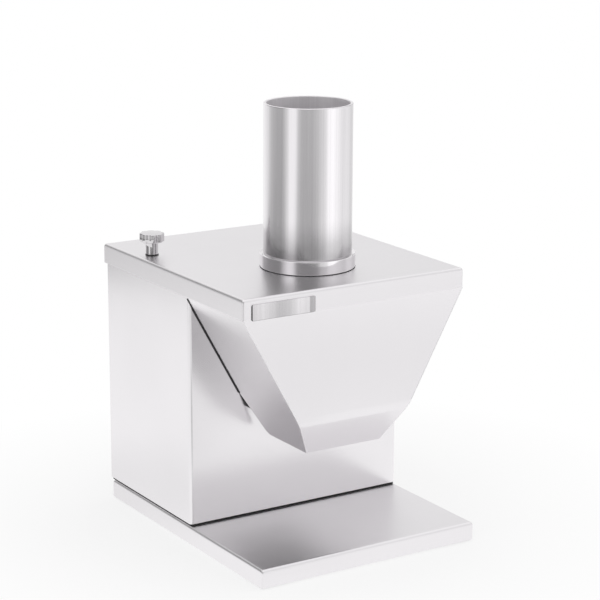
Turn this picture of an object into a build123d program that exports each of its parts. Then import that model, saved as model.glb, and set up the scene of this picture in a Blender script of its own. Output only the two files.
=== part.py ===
from build123d import *
from math import atan2, cos, radians, tan
import os

# Electric sausage slicer in folded stainless sheet: a tray carries a housing with the drive,
# and a lift-off cover carries the feed tube and the chute that drops slices on the tray.
# The origin is the middle of the footprint on the worktop, +X right, +Y back, +Z up, in mm.

os.makedirs("parts", exist_ok=True)

# Sheet metal
sheet = 1.5
bend_radius = 2.6
corner_radius = 1.4
deck_thickness = 3.0
drive_plate_thickness = 4.0

# Clearances
weld_gap = 0.1
thread_gap = 0.1
shaft_gap = 0.05
guide_gap = 0.3
cover_gap = 0.5
lid_side_gap = 0.75
chute_gap = 0.75
knife_post_gap = 1.6
bearing_front_gap = 3.75
motor_rear_gap = 2.75
cut_through = 4.5

# Overall envelope
machine_depth = 249.0
housing_width = 198.0
body_height = 205.0
lid_lip_height = 16.0

# Tray and feet
tray_side_reach = 0.4
tray_setback = 5.0
tray_height = 14.6
foot_stand = 1.5
foot_diameter = 20.0
foot_inset = 18.0
weld_nut_height = 4.0
gasket_thickness = 1.6
gasket_inset = 1.0
flange_width = 14.0
base_screw_spread = 36.0

# Feed tube and its collar
tube_outer = 70.0
tube_wall = 2.3
tube_height = 130.0
tube_from_front = 70.0
tube_above_knife = 1.0
tube_edge_radius = 0.7
collar_outer = 75.6
collar_height = 11.0

# Chute under the lid
chute_height = 134.6
chute_mouth_width = 69.4
chute_bend_height = 30.0
chute_bend_angle = 28.0
chute_bend_radius = 17.0
chute_rear_taper_height = 34.0
chute_rear_taper_run = 12.5
chute_corner_radius = 7.0

# Name plate
plate_width = 55.5
plate_height = 12.2
plate_thickness = 0.8
plate_from_left = 8.0
plate_below_top = 4.6
plate_corner = 0.8

# Knife and spindle
knife_behind_tube = 55.0
knife_thickness = 2.5
knife_below_lid = 4.6
knife_root_width = 34.0
knife_tip_lead = 20.0
knife_tip_trail = 10.0
knife_edge_hollow = 8.5
slice_thickness = 12.0
hub_diameter = 36.0
hub_lift = 0.8
spindle_diameter = 15.0
spindle_nose_diameter = 12.0
knife_thread = 8.0
knife_screw_head = 24.0
knife_screw_head_height = 3.4
knife_screw_length = 14.0
knife_slot_width = 3.0
drive_pin_diameter = 4.0
drive_pin_circle = 26.0
seal_diameter = 26.0

# Spindle bearings and their housing
spindle_bearing_outer = 35.0
spindle_bearing_width = 11.0
bearing_span = 36.0
bearing_body_diameter = 46.0
bearing_flange_diameter = 68.0
bearing_flange_height = 5.0
bearing_screw_circle_diameter = 57.0
shield_depth = 0.6
shield_width = 2.2

# Belt drive
pulley_pitch_large = 60.0
pulley_pitch_small = 20.0
pulley_width = 15.0
pulley_flange_width = 1.6
pulley_flange_rise = 2.0
belt_thickness = 1.8
belt_side_gap = 0.6
pulley_below_bearing = 4.0
motor_behind_spindle = 50.0

# Motor
motor_diameter = 84.0
motor_shell = 3.0
motor_length = 60.0
bell_height = 10.0
bell_spigot_diameter = 34.0
core_length = 40.0
rotor_diameter = 49.4
air_gap = 0.6
winding_height = 8.0
winding_outer = 70.0
motor_shaft_diameter = 10.0
motor_bearing_outer = 26.0
motor_bearing_width = 8.0
motor_screw_circle_diameter = 60.0
motor_screw_depth = 5.0
fan_diameter = 64.0
fan_height = 8.0
fan_hub_diameter = 18.0
fan_plate_thickness = 1.6
fan_blade_thickness = 1.6
fan_blades = 9
fan_below_bell = 2.5

# Drive plate and its pillars
drive_plate_width = 128.0
drive_plate_front_reach = 20.5
drive_plate_rear_reach = 41.5
drive_plate_corner = 4.5
pillar_diameter = 12.0
pillar_inset = 9.0
plate_below_pulley = 10.0

# Screws and nuts
m3 = 3.0
m4 = 4.0
m5 = 5.0
head_ratio = 1.75
head_height_ratio = 0.6
socket_ratio = 0.5
nut_ratio = 1.85
nut_height_ratio = 0.8
hole_allowance = 0.4
panel_screw_length = 4.5

# Cover screws and their posts
thumb_from_side = 12.0
thumb_from_rear = 58.0
thumb_head_diameter = 20.0
thumb_head_height = 7.5
thumb_total_height = 18.5
thumb_stem_diameter = 10.0
thumb_shank_diameter = 6.0
thumb_engagement = 8.0
thumb_scallops = 8
thumb_scallop_radius = 3.4
thumb_scallop_depth = 1.0
thumb_edge_chamfer = 0.7
washer_thickness = 0.7
washer_diameter = 10.8
post_diameter = 10.0
post_spigot_diameter = 8.0

# Deck
ledge_width = 12.0
ledge_thickness = 3.0
tongue_side_gap = 1.2

# Electrical pieces
button_diameter = 17.4
button_length = 10.0
button_travel = 3.0
button_pitch = 22.0
button_recess = 0.3
bezel_width = 30.0
bezel_height = 50.0
bezel_flange = 1.8
bezel_body_depth = 14.0
bezel_body_margin = 3.0
switch_from_rear = 62.25
switch_below_deck = 37.5
switch_block_depth = 18.0
plunger_diameter = 5.0
plunger_length = 3.0
inlet_from_side = 37.5
inlet_above_tray = 31.9
inlet_flange_width = 50.0
inlet_flange_height = 24.0
inlet_flange = 2.0
inlet_body_width = 27.4
inlet_body_height = 19.8
inlet_body_depth = 22.0
inlet_wall = 1.6
inlet_recess = 18.0
inlet_screw_spacing = 40.0
inlet_pin_length = 11.0
inlet_pin_width = 2.0
inlet_pin_height = 4.0
inlet_pin_pitch = 7.0
inlet_earth_rise = 3.0
inlet_screw_length = 5.5
terminal_flange_gap = 5.5
terminal_front_gap = 2.25
terminal_width = 20.0
terminal_length = 44.0
terminal_height = 18.0
terminal_pocket_diameter = 5.0
terminal_pocket_depth = 5.0
capacitor_flange_gap = 2.5
capacitor_rear_gap = 6.25
capacitor_edge_radius = 1.5
capacitor_diameter = 30.0
capacitor_height = 70.0
clip_thickness = 1.5
clip_height = 12.0
clip_rise = 24.0
sensor_wall_gap = 11.5
sensor_rear_gap = 8.25
sensor_width = 16.0
sensor_depth = 10.0
sensor_height = 8.0
magnet_gap = 2.0
wire_diameter = 5.6
wire_bend_radius = 10.0
motor_lead_rise = 10.0

# Levels, from the worktop up
tray_bottom = foot_stand
tray_top = tray_bottom + tray_height
tray_under = tray_top - sheet
housing_bottom = tray_top + gasket_thickness
lid_top = tray_top + body_height
lid_under = lid_top - sheet
lid_lip_bottom = lid_top - lid_lip_height
housing_top = lid_under - cover_gap
knife_top = lid_under - knife_below_lid
knife_bottom = knife_top - knife_thickness
deck_top = knife_bottom - slice_thickness
deck_under = deck_top - deck_thickness
chute_bottom = lid_top - chute_height
chute_bend_z = chute_bottom + chute_bend_height

# Places, from the front to the back
front = -machine_depth / 2
rear = machine_depth / 2
tray_rear = rear - tray_setback
tray_depth = tray_rear - front
tray_width = housing_width + 2 * tray_side_reach
lid_width = housing_width + 2 * (sheet + lid_side_gap)
inner_width = housing_width - 2 * sheet
housing_rear = rear - sheet - lid_side_gap
shell_rear = housing_rear - sheet
motor_y = shell_rear - sheet - motor_rear_gap - motor_diameter / 2
spindle_y = motor_y - motor_behind_spindle
housing_front = spindle_y - bearing_flange_diameter / 2 - bearing_front_gap - sheet
tube_y = spindle_y - knife_behind_tube
lid_front = tube_y - tube_from_front
lid_depth = rear - lid_front
lid_middle = (lid_front + rear) / 2
thumb_x = housing_width / 2 - thumb_from_side
thumb_y = rear - thumb_from_rear
knife_reach = (thumb_x ** 2 + (thumb_y - spindle_y) ** 2) ** 0.5 - post_diameter / 2 - knife_post_gap
switch_centre_y = housing_rear - switch_from_rear
switch_centre_z = deck_under - switch_below_deck
inlet_x = inner_width / 2 - inlet_from_side
inlet_z = tray_top + inlet_above_tray


def discs(points, diameter, level, height, mode=Mode.ADD):
    """Upright cylinders on the given points, from a level up, or down if the height is negative."""
    with BuildSketch(Plane.XY.offset(level)) as plan:
        with Locations(*points):
            Circle(diameter / 2)
    extrude(plan.sketch, amount=height, mode=mode)


def slab(low, high, level, height, mode=Mode.ADD):
    """Upright block over the rectangle between two plan corners."""
    with BuildSketch(Plane.XY.offset(level)) as plan:
        with Locations(((low[0] + high[0]) / 2, (low[1] + high[1]) / 2)):
            Rectangle(high[0] - low[0], high[1] - low[1])
    extrude(plan.sketch, amount=height, mode=mode)


def screws(points, thread, seat, length, up=True):
    """Socket screws with their heads on the seat level, above it or below it."""
    way = 1 if up else -1
    head_height = head_height_ratio * thread
    discs(points, head_ratio * thread, seat, way * head_height)
    discs(points, thread, seat, -way * length)
    with BuildSketch(Plane.XY.offset(seat + way * head_height)) as plan:
        with Locations(*points):
            RegularPolygon(socket_ratio * thread, 6)
    extrude(plan.sketch, amount=-way * head_height / 2, mode=Mode.SUBTRACT)


def nuts(points, thread, level):
    """Hexagon nuts that stand on a level."""
    with BuildSketch(Plane.XY.offset(level)) as plan:
        with Locations(*points):
            RegularPolygon(nut_ratio * thread / 2, 6)
            Circle(thread / 2 + thread_gap, mode=Mode.SUBTRACT)
    extrude(plan.sketch, amount=nut_height_ratio * thread)


def bearing(y, level, bore, outer, width):
    """Shielded ball bearing round an upright shaft, with recessed shields on both faces."""
    shield_outer = outer - 2 * shield_width
    shield_inner = bore + 2 * shield_width
    with BuildSketch(Plane.XY.offset(level)) as plan:
        with Locations((0, y)):
            Circle(outer / 2)
            Circle(bore / 2 + shaft_gap, mode=Mode.SUBTRACT)
    extrude(plan.sketch, amount=width)
    for face_level, depth in ((level, shield_depth), (level + width, -shield_depth)):
        with BuildSketch(Plane.XY.offset(face_level)) as plan:
            with Locations((0, y)):
                Circle(shield_outer / 2)
                Circle(shield_inner / 2, mode=Mode.SUBTRACT)
        extrude(plan.sketch, amount=depth, mode=Mode.SUBTRACT)


def pulley(y, level, pitch, bore):
    """Flat belt pulley with a flange above and below its rim, on a shaft of the given bore."""
    with BuildSketch(Plane.XY.offset(level)) as plan:
        with Locations((0, y)):
            Circle(pitch / 2)
            Circle(bore / 2 + shaft_gap, mode=Mode.SUBTRACT)
    extrude(plan.sketch, amount=pulley_width)
    for flange_level in (level, level + pulley_width - pulley_flange_width):
        with BuildSketch(Plane.XY.offset(flange_level)) as plan:
            with Locations((0, y)):
                Circle(pitch / 2 + belt_thickness + pulley_flange_rise)
                Circle(bore / 2 + shaft_gap, mode=Mode.SUBTRACT)
        extrude(plan.sketch, amount=pulley_flange_width)


def save(piece, name):
    """Names a finished piece and writes it."""
    piece.part.label = name
    export_step(piece.part, f"parts/{name}.step")


# Places of the fasteners
foot_x = tray_width / 2 - foot_inset
foot_points = [(x, y) for x in (-foot_x, foot_x) for y in (front + foot_inset, tray_rear - foot_inset)]
base_x = housing_width / 2 - sheet - flange_width / 2
base_front_y = housing_front + sheet + flange_width / 2
base_rear_y = tray_rear - foot_inset - base_screw_spread
base_points = [(x, y) for x in (-base_x, base_x) for y in (base_front_y, base_rear_y)]
ledge_x = inner_width / 2 - ledge_width / 2
deck_screw_points = [(x, y) for x in (-ledge_x, ledge_x)
                     for y in (housing_front + flange_width, housing_rear - flange_width)]
pillar_x = drive_plate_width / 2 - pillar_inset
drive_plate_front = spindle_y - drive_plate_front_reach
drive_plate_rear = motor_y + drive_plate_rear_reach
pillar_points = [(x, y) for x in (-pillar_x, pillar_x)
                 for y in (drive_plate_front + pillar_inset, drive_plate_rear - pillar_inset)]
thumb_points = [(-thumb_x, thumb_y), (thumb_x, thumb_y)]

# Tray: folded sheet pan, turned down at all four edges, that everything stands on
with BuildPart() as base_tray:
    with BuildSketch(Plane.XY.offset(tray_bottom)):
        with Locations((0, (front + tray_rear) / 2)):
            RectangleRounded(tray_width, tray_depth, corner_radius)
    extrude(amount=tray_height)
    fillet(base_tray.faces().sort_by(Axis.Z)[-1].edges(), bend_radius)
    slab((sheet - tray_width / 2, front + sheet), (tray_width / 2 - sheet, tray_rear - sheet),
         tray_bottom, tray_height - sheet, Mode.SUBTRACT)
    discs(base_points, m5 + hole_allowance, tray_top, -cut_through, Mode.SUBTRACT)
save(base_tray, "base_tray")

# Weld nuts under the tray that the feet are screwed to
with BuildPart() as foot_nuts:
    with BuildSketch(Plane.XY.offset(tray_under)):
        with Locations(*foot_points):
            RegularPolygon(nut_ratio * m5 / 2, 6)
            Circle(m5 / 2 + thread_gap, mode=Mode.SUBTRACT)
    extrude(amount=-weld_nut_height)
save(foot_nuts, "foot_nuts")

# Rubber feet, each with a sunk seat for its screw's head
foot_height = tray_under - weld_nut_height
foot_seat = foot_height / 2
with BuildPart() as rubber_feet:
    discs(foot_points, foot_diameter, 0, foot_height)
    discs(foot_points, m5 * head_ratio + 2 * hole_allowance, 0, foot_seat, Mode.SUBTRACT)
    discs(foot_points, m5 + hole_allowance, 0, foot_height, Mode.SUBTRACT)
save(rubber_feet, "rubber_feet")

with BuildPart() as foot_screws:
    screws(foot_points, m5, foot_seat, foot_height - foot_seat + weld_nut_height, up=False)
save(foot_screws, "foot_screws")

# Housing shell: one sheet bent round the front and both sides, with flanges at its foot and back
flange_inner_x = inner_width / 2 - flange_width
with BuildPart() as housing_shell:
    with BuildSketch(Plane.XY.offset(housing_bottom)) as shell_plan:
        with Locations((0, (housing_front + shell_rear) / 2)):
            Rectangle(housing_width, shell_rear - housing_front)
        fillet(shell_plan.vertices().group_by(Axis.Y)[0], bend_radius)
        offset(amount=-sheet, mode=Mode.SUBTRACT)
        with Locations((0, shell_rear)):
            Rectangle(2 * flange_inner_x, 2 * cut_through, mode=Mode.SUBTRACT)
    extrude(amount=housing_top - housing_bottom)
    slab((-inner_width / 2, housing_front - sheet), (inner_width / 2, housing_front + bend_radius),
         deck_under, housing_top - deck_under, Mode.SUBTRACT)
    inner_front = housing_front + sheet
    slab((-inner_width / 2, inner_front), (-flange_inner_x, shell_rear - sheet), housing_bottom, sheet)
    slab((flange_inner_x, inner_front), (inner_width / 2, shell_rear - sheet), housing_bottom, sheet)
    slab((-flange_inner_x, inner_front), (flange_inner_x, inner_front + flange_width), housing_bottom, sheet)
    discs(base_points, m5 + hole_allowance, housing_bottom, sheet, Mode.SUBTRACT)
    with BuildSketch(Plane.YZ.offset(inner_width / 2 - sheet)):
        with Locations((switch_centre_y, switch_centre_z)):
            Rectangle(bezel_width - 2 * bezel_body_margin, bezel_height - 2 * bezel_body_margin)
    extrude(amount=cut_through, mode=Mode.SUBTRACT)
    panel_screw_x = inner_width / 2 - flange_width / 2
    panel_screw_z = (housing_bottom + flange_width, (housing_bottom + lid_lip_bottom) / 2,
                     lid_lip_bottom - flange_width)
    panel_points = [(x, z) for x in (-panel_screw_x, panel_screw_x) for z in panel_screw_z]
    with BuildSketch(Plane.XZ.offset(-housing_rear)):
        with Locations(*panel_points):
            Circle(m3 / 2 + thread_gap)
    extrude(amount=cut_through, mode=Mode.SUBTRACT)
save(housing_shell, "housing_shell")

# Rear panel, screwed to the shell's rear flanges, with the cut-out for the power inlet
with BuildPart() as rear_panel:
    slab((-housing_width / 2, shell_rear), (housing_width / 2, housing_rear),
         housing_bottom, housing_top - housing_bottom)
    with BuildSketch(Plane.XZ.offset(-housing_rear)):
        with Locations((inlet_x, inlet_z)):
            Rectangle(inlet_body_width + hole_allowance, inlet_body_height + hole_allowance)
        with Locations(*panel_points):
            Circle((m3 + hole_allowance) / 2)
        with Locations((inlet_x - inlet_screw_spacing / 2, inlet_z),
                       (inlet_x + inlet_screw_spacing / 2, inlet_z)):
            Circle(m3 / 2 + thread_gap)
    extrude(amount=sheet, mode=Mode.SUBTRACT)
save(rear_panel, "rear_panel")

# Low screws that hold the rear panel
panel_head_height = m3 * head_height_ratio
with BuildPart() as rear_panel_screws:
    with BuildSketch(Plane.XZ.offset(-housing_rear)):
        with Locations(*panel_points):
            Circle(m3 * head_ratio / 2)
    extrude(amount=-panel_head_height)
    with BuildSketch(Plane.XZ.offset(-housing_rear)):
        with Locations(*panel_points):
            Circle(m3 / 2)
    extrude(amount=panel_screw_length)
    with BuildSketch(Plane.XZ.offset(-housing_rear - panel_head_height)):
        with Locations(*panel_points):
            RegularPolygon(m3 * socket_ratio, 6)
    extrude(amount=panel_head_height / 2, mode=Mode.SUBTRACT)
save(rear_panel_screws, "rear_panel_screws")

# Rubber gasket between the tray and the housing, set back so that it reads as a shadow line
gasket_inner_x = inner_width / 2 - flange_width + gasket_inset
with BuildPart() as housing_gasket:
    slab((gasket_inset - housing_width / 2, housing_front + gasket_inset),
         (housing_width / 2 - gasket_inset, housing_rear - gasket_inset), tray_top, gasket_thickness)
    slab((-gasket_inner_x, housing_front + sheet + flange_width), (gasket_inner_x, shell_rear - sheet),
         tray_top, gasket_thickness, Mode.SUBTRACT)
    discs(base_points, m5 + hole_allowance, tray_top, gasket_thickness, Mode.SUBTRACT)
save(housing_gasket, "housing_gasket")

# Screws from below the tray into nuts on the housing's foot flange
base_grip = sheet + gasket_thickness + sheet
with BuildPart() as base_screws:
    screws(base_points, m5, tray_under, base_grip + nut_height_ratio * m5, up=False)
save(base_screws, "base_screws")

# Ledges: two angles welded inside the side walls, under the deck
ledge_rear = shell_rear - sheet - cover_gap
ledge_front = housing_front + bend_radius + cover_gap
with BuildPart() as deck_ledges:
    for side in (-1, 1):
        wall_x = side * inner_width / 2
        inner_x = wall_x - side * ledge_width
        web_x = wall_x - side * ledge_thickness
        slab((min(wall_x, inner_x), ledge_front), (max(wall_x, inner_x), ledge_rear),
             deck_under - ledge_thickness, ledge_thickness)
        slab((min(wall_x, web_x), ledge_front), (max(wall_x, web_x), ledge_rear),
             deck_under - ledge_width, ledge_width)
    discs(deck_screw_points, m4 + 2 * thread_gap, deck_under, -ledge_thickness, Mode.SUBTRACT)
save(deck_ledges, "deck_ledges")

# Deck: the plate that slices rest on while they are cut, with a tongue under the feed tube
tongue_half_width = chute_mouth_width / 2 - sheet - tongue_side_gap
deck_half_width = inner_width / 2 - weld_gap
deck_rear = shell_rear - sheet - weld_gap
with BuildPart() as deck_plate:
    slab((-deck_half_width, housing_front), (deck_half_width, deck_rear), deck_under, deck_thickness)
    slab((-tongue_half_width, tube_y), (tongue_half_width, housing_front), deck_under, deck_thickness)
    discs([(0, tube_y)], 2 * tongue_half_width, deck_under, deck_thickness)
    discs([(0, spindle_y)], seal_diameter, deck_under, deck_thickness, Mode.SUBTRACT)
    discs(deck_screw_points, m4 + hole_allowance, deck_under, deck_thickness, Mode.SUBTRACT)
    discs(pillar_points, m5 + 2 * thread_gap, deck_under, deck_thickness, Mode.SUBTRACT)
    discs(thumb_points, post_spigot_diameter, deck_under, deck_thickness, Mode.SUBTRACT)
    bearing_screw_places = PolarLocations(bearing_screw_circle_diameter / 2, 4, start_angle=45)
    bearing_screw_points = [(place.position.X, place.position.Y + spindle_y)
                            for place in bearing_screw_places.locations]
    discs(bearing_screw_points, m4 + 2 * thread_gap, deck_under, deck_thickness, Mode.SUBTRACT)
save(deck_plate, "deck_plate")

with BuildPart() as deck_screws:
    screws(deck_screw_points, m4, deck_top, deck_thickness + ledge_thickness)
save(deck_screws, "deck_screws")

# Posts that carry the lid and take its two screws, riveted into the deck
with BuildPart() as cover_posts:
    discs(thumb_points, post_diameter, deck_top, lid_under - deck_top)
    discs(thumb_points, post_spigot_diameter - 2 * thread_gap, deck_top, -deck_thickness)
    discs(thumb_points, thumb_shank_diameter + 2 * shaft_gap, lid_under, deck_top - lid_under, Mode.SUBTRACT)
save(cover_posts, "cover_posts")

# Bearing housing: turned flange and barrel bolted under the deck
barrel_bottom = deck_under - bearing_span
upper_bearing_level = deck_under - spindle_bearing_width
with BuildPart() as bearing_housing:
    discs([(0, spindle_y)], bearing_flange_diameter, deck_under, -bearing_flange_height)
    discs([(0, spindle_y)], bearing_body_diameter, deck_under, -bearing_span)
    discs([(0, spindle_y)], spindle_bearing_outer + 2 * weld_gap, deck_under, -spindle_bearing_width,
          Mode.SUBTRACT)
    discs([(0, spindle_y)], spindle_bearing_outer + 2 * weld_gap, barrel_bottom, spindle_bearing_width,
          Mode.SUBTRACT)
    discs([(0, spindle_y)], spindle_bearing_outer - 2 * shield_width, barrel_bottom, bearing_span,
          Mode.SUBTRACT)
    discs(bearing_screw_points, m4 + hole_allowance, deck_under, -bearing_flange_height, Mode.SUBTRACT)
save(bearing_housing, "bearing_housing")

with BuildPart() as bearing_screws:
    screws(bearing_screw_points, m4, deck_under - bearing_flange_height,
           bearing_flange_height + deck_thickness, up=False)
save(bearing_screws, "bearing_screws")

with BuildPart() as spindle_bearings:
    bearing(spindle_y, upper_bearing_level, spindle_diameter, spindle_bearing_outer, spindle_bearing_width)
    bearing(spindle_y, barrel_bottom, spindle_diameter, spindle_bearing_outer, spindle_bearing_width)
save(spindle_bearings, "spindle_bearings")

# Shaft seal in the deck, which keeps juice out of the bearings
with BuildPart() as spindle_seal:
    with BuildSketch(Plane.XY.offset(deck_under)):
        with Locations((0, spindle_y)):
            Circle(seal_diameter / 2 - weld_gap)
            Circle(spindle_diameter / 2 + shaft_gap, mode=Mode.SUBTRACT)
    extrude(amount=deck_thickness)
save(spindle_seal, "spindle_seal")

# Spindle: stepped shaft with a threaded bore in its nose
hub_bottom = deck_top + hub_lift
spindle_pulley_level = barrel_bottom - pulley_below_bearing - pulley_width
with BuildPart() as spindle:
    discs([(0, spindle_y)], spindle_diameter, spindle_pulley_level, hub_bottom - spindle_pulley_level)
    discs([(0, spindle_y)], spindle_nose_diameter, hub_bottom, knife_bottom - hub_bottom)
    discs([(0, spindle_y)], knife_thread + 2 * thread_gap, knife_bottom, knife_thickness - knife_screw_length,
          Mode.SUBTRACT)
save(spindle, "spindle")

with BuildPart() as spindle_pulley:
    pulley(spindle_y, spindle_pulley_level, pulley_pitch_large, spindle_diameter)
save(spindle_pulley, "spindle_pulley")

# Knife hub with two pins that drive the knife
pin_points = [(drive_pin_circle / 2, spindle_y), (-drive_pin_circle / 2, spindle_y)]
with BuildPart() as knife_hub:
    discs([(0, spindle_y)], hub_diameter, hub_bottom, knife_bottom - hub_bottom)
    discs([(0, spindle_y)], spindle_nose_diameter + 2 * shaft_gap, hub_bottom, knife_bottom - hub_bottom,
          Mode.SUBTRACT)
    discs(pin_points, drive_pin_diameter, knife_bottom, knife_thickness)
save(knife_hub, "knife_hub")

# Sickle knife: hollow cutting edge on one side and a straight back, parked towards the rear
root_left = (-knife_root_width / 2, spindle_y)
root_right = (knife_root_width / 2, spindle_y)
edge_middle = (-knife_edge_hollow, spindle_y + knife_reach / 2)
tip_left = (-knife_tip_lead, spindle_y + (knife_reach ** 2 - knife_tip_lead ** 2) ** 0.5)
tip_top = (0, spindle_y + knife_reach)
tip_right = (knife_tip_trail, spindle_y + (knife_reach ** 2 - knife_tip_trail ** 2) ** 0.5)
with BuildPart() as knife_blade:
    with BuildSketch(Plane.XY.offset(knife_bottom)):
        with BuildLine():
            ThreePointArc(tip_left, tip_top, tip_right)
            Line(tip_right, root_right)
            Line(root_right, root_left)
            ThreePointArc(root_left, edge_middle, tip_left)
        make_face()
        with Locations((0, spindle_y)):
            Circle(hub_diameter / 2)
            Circle(knife_thread / 2 + thread_gap, mode=Mode.SUBTRACT)
        with Locations(*pin_points):
            Circle(drive_pin_diameter / 2 + thread_gap, mode=Mode.SUBTRACT)
    extrude(amount=knife_thickness)
save(knife_blade, "knife_blade")

with BuildPart() as knife_screw:
    discs([(0, spindle_y)], knife_screw_head, knife_top, knife_screw_head_height)
    discs([(0, spindle_y)], knife_thread, knife_top, -knife_screw_length)
    with BuildSketch(Plane.XY.offset(knife_top + knife_screw_head_height)):
        with Locations((0, spindle_y)):
            Rectangle(knife_screw_head, knife_slot_width)
    extrude(amount=-knife_screw_head_height / 2, mode=Mode.SUBTRACT)
save(knife_screw, "knife_screw")

# Drive plate: hangs on four pillars under the deck and carries the motor
drive_plate_top = spindle_pulley_level - plate_below_pulley
drive_plate_under = drive_plate_top - drive_plate_thickness
motor_screw_places = PolarLocations(motor_screw_circle_diameter / 2, 4, start_angle=45)
motor_screw_points = [(place.position.X, place.position.Y + motor_y)
                      for place in motor_screw_places.locations]
with BuildPart() as drive_plate:
    slab((-drive_plate_width / 2, drive_plate_front), (drive_plate_width / 2, drive_plate_rear),
         drive_plate_under, drive_plate_thickness)
    fillet(drive_plate.edges().filter_by(Axis.Z), drive_plate_corner)
    discs([(0, motor_y)], bell_spigot_diameter + 2 * weld_gap, drive_plate_under, drive_plate_thickness,
          Mode.SUBTRACT)
    discs(pillar_points, m5 + hole_allowance, drive_plate_under, drive_plate_thickness, Mode.SUBTRACT)
    discs(motor_screw_points, m5 + hole_allowance, drive_plate_under, drive_plate_thickness, Mode.SUBTRACT)
save(drive_plate, "drive_plate")

# Pillars with a stud at each end, the upper one screwed into the deck and flush with it
stud_length = nut_height_ratio * m5
with BuildPart() as drive_pillars:
    discs(pillar_points, pillar_diameter, drive_plate_top, deck_under - drive_plate_top)
    discs(pillar_points, m5, deck_under, deck_thickness)
    discs(pillar_points, m5, drive_plate_top, -drive_plate_thickness - stud_length)
save(drive_pillars, "drive_pillars")

# Like nuts on the base screws and on the pillars' lower studs
with BuildPart() as hex_nuts:
    nuts(base_points, m5, housing_bottom + sheet)
    nuts(pillar_points, m5, drive_plate_under - stud_length)
save(hex_nuts, "hex_nuts")

# Motor, hung shaft up under the drive plate
can_top = drive_plate_under - bell_height
can_bottom = can_top - motor_length
core_bottom = (can_top + can_bottom - core_length) / 2
core_top = core_bottom + core_length
bell_bottom = can_bottom - bell_height
upper_motor_bearing = can_top
lower_motor_bearing = can_bottom - motor_bearing_width
with BuildPart() as motor_can:
    discs([(0, motor_y)], motor_diameter, can_bottom, motor_length)
    discs([(0, motor_y)], motor_diameter - 2 * motor_shell, can_bottom, motor_length, Mode.SUBTRACT)
save(motor_can, "motor_can")

with BuildPart() as motor_top_bell:
    discs([(0, motor_y)], motor_diameter, can_top, bell_height)
    discs([(0, motor_y)], bell_spigot_diameter, can_top, bell_height + drive_plate_thickness)
    discs([(0, motor_y)], motor_bearing_outer + 2 * weld_gap, can_top, motor_bearing_width, Mode.SUBTRACT)
    discs([(0, motor_y)], motor_shaft_diameter + 2 * air_gap, can_top, bell_height + drive_plate_thickness,
          Mode.SUBTRACT)
    discs(motor_screw_points, m5 + 2 * thread_gap, can_top, bell_height, Mode.SUBTRACT)
save(motor_top_bell, "motor_top_bell")

with BuildPart() as motor_bottom_bell:
    discs([(0, motor_y)], motor_diameter, bell_bottom, bell_height)
    discs([(0, motor_y)], motor_bearing_outer + 2 * weld_gap, can_bottom, -motor_bearing_width, Mode.SUBTRACT)
    discs([(0, motor_y)], motor_shaft_diameter + 2 * air_gap, bell_bottom, bell_height, Mode.SUBTRACT)
save(motor_bottom_bell, "motor_bottom_bell")

with BuildPart() as motor_bearings:
    bearing(motor_y, upper_motor_bearing, motor_shaft_diameter, motor_bearing_outer, motor_bearing_width)
    bearing(motor_y, lower_motor_bearing, motor_shaft_diameter, motor_bearing_outer, motor_bearing_width)
save(motor_bearings, "motor_bearings")

with BuildPart() as motor_screws:
    screws(motor_screw_points, m5, drive_plate_top, drive_plate_thickness + motor_screw_depth)
save(motor_screws, "motor_screws")

# Stator core and the ends of its windings
stator_inner = rotor_diameter + 2 * air_gap
with BuildPart() as stator_core:
    discs([(0, motor_y)], motor_diameter - 2 * motor_shell - 2 * weld_gap, core_bottom, core_length)
    discs([(0, motor_y)], stator_inner, core_bottom, core_length, Mode.SUBTRACT)
save(stator_core, "stator_core")

with BuildPart() as motor_windings:
    for level in (core_bottom - winding_height, core_top):
        discs([(0, motor_y)], winding_outer, level, winding_height)
        discs([(0, motor_y)], stator_inner + 2 * air_gap, level, winding_height, Mode.SUBTRACT)
save(motor_windings, "motor_windings")

# Rotor with its shaft, pulley and cooling fan
fan_top = bell_bottom - fan_below_bell
fan_bottom = fan_top - fan_height
motor_pulley_top = spindle_pulley_level + pulley_width
with BuildPart() as rotor_shaft:
    discs([(0, motor_y)], motor_shaft_diameter, fan_bottom, motor_pulley_top - fan_bottom)
save(rotor_shaft, "rotor_shaft")

with BuildPart() as rotor_core:
    discs([(0, motor_y)], rotor_diameter, core_bottom, core_length)
    discs([(0, motor_y)], motor_shaft_diameter + 2 * shaft_gap, core_bottom, core_length, Mode.SUBTRACT)
save(rotor_core, "rotor_core")

with BuildPart() as motor_pulley:
    pulley(motor_y, spindle_pulley_level, pulley_pitch_small, motor_shaft_diameter)
save(motor_pulley, "motor_pulley")

with BuildPart() as cooling_fan:
    discs([(0, motor_y)], fan_diameter, fan_top, -fan_plate_thickness)
    with BuildSketch(Plane.XY.offset(fan_bottom)):
        with Locations((0, motor_y)):
            with PolarLocations((fan_hub_diameter + fan_diameter) / 4 - fan_blade_thickness, fan_blades):
                Rectangle((fan_diameter - fan_hub_diameter) / 2, fan_blade_thickness)
            Circle(fan_hub_diameter / 2)
    extrude(amount=fan_height)
    discs([(0, motor_y)], motor_shaft_diameter + 2 * shaft_gap, fan_bottom, fan_height, Mode.SUBTRACT)
save(cooling_fan, "cooling_fan")

# Flat belt round both pulleys
belt_level = spindle_pulley_level + pulley_flange_width + belt_side_gap
belt_width = pulley_width - 2 * (pulley_flange_width + belt_side_gap)
with BuildPart() as drive_belt:
    with BuildSketch(Plane.XY.offset(belt_level)) as belt_plan:
        with Locations((0, spindle_y)):
            Circle(pulley_pitch_large / 2 + guide_gap + belt_thickness)
        with Locations((0, motor_y)):
            Circle(pulley_pitch_small / 2 + guide_gap + belt_thickness)
        make_hull(belt_plan.edges())
        offset(amount=-belt_thickness, mode=Mode.SUBTRACT)
    extrude(amount=belt_width)
save(drive_belt, "drive_belt")

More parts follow.
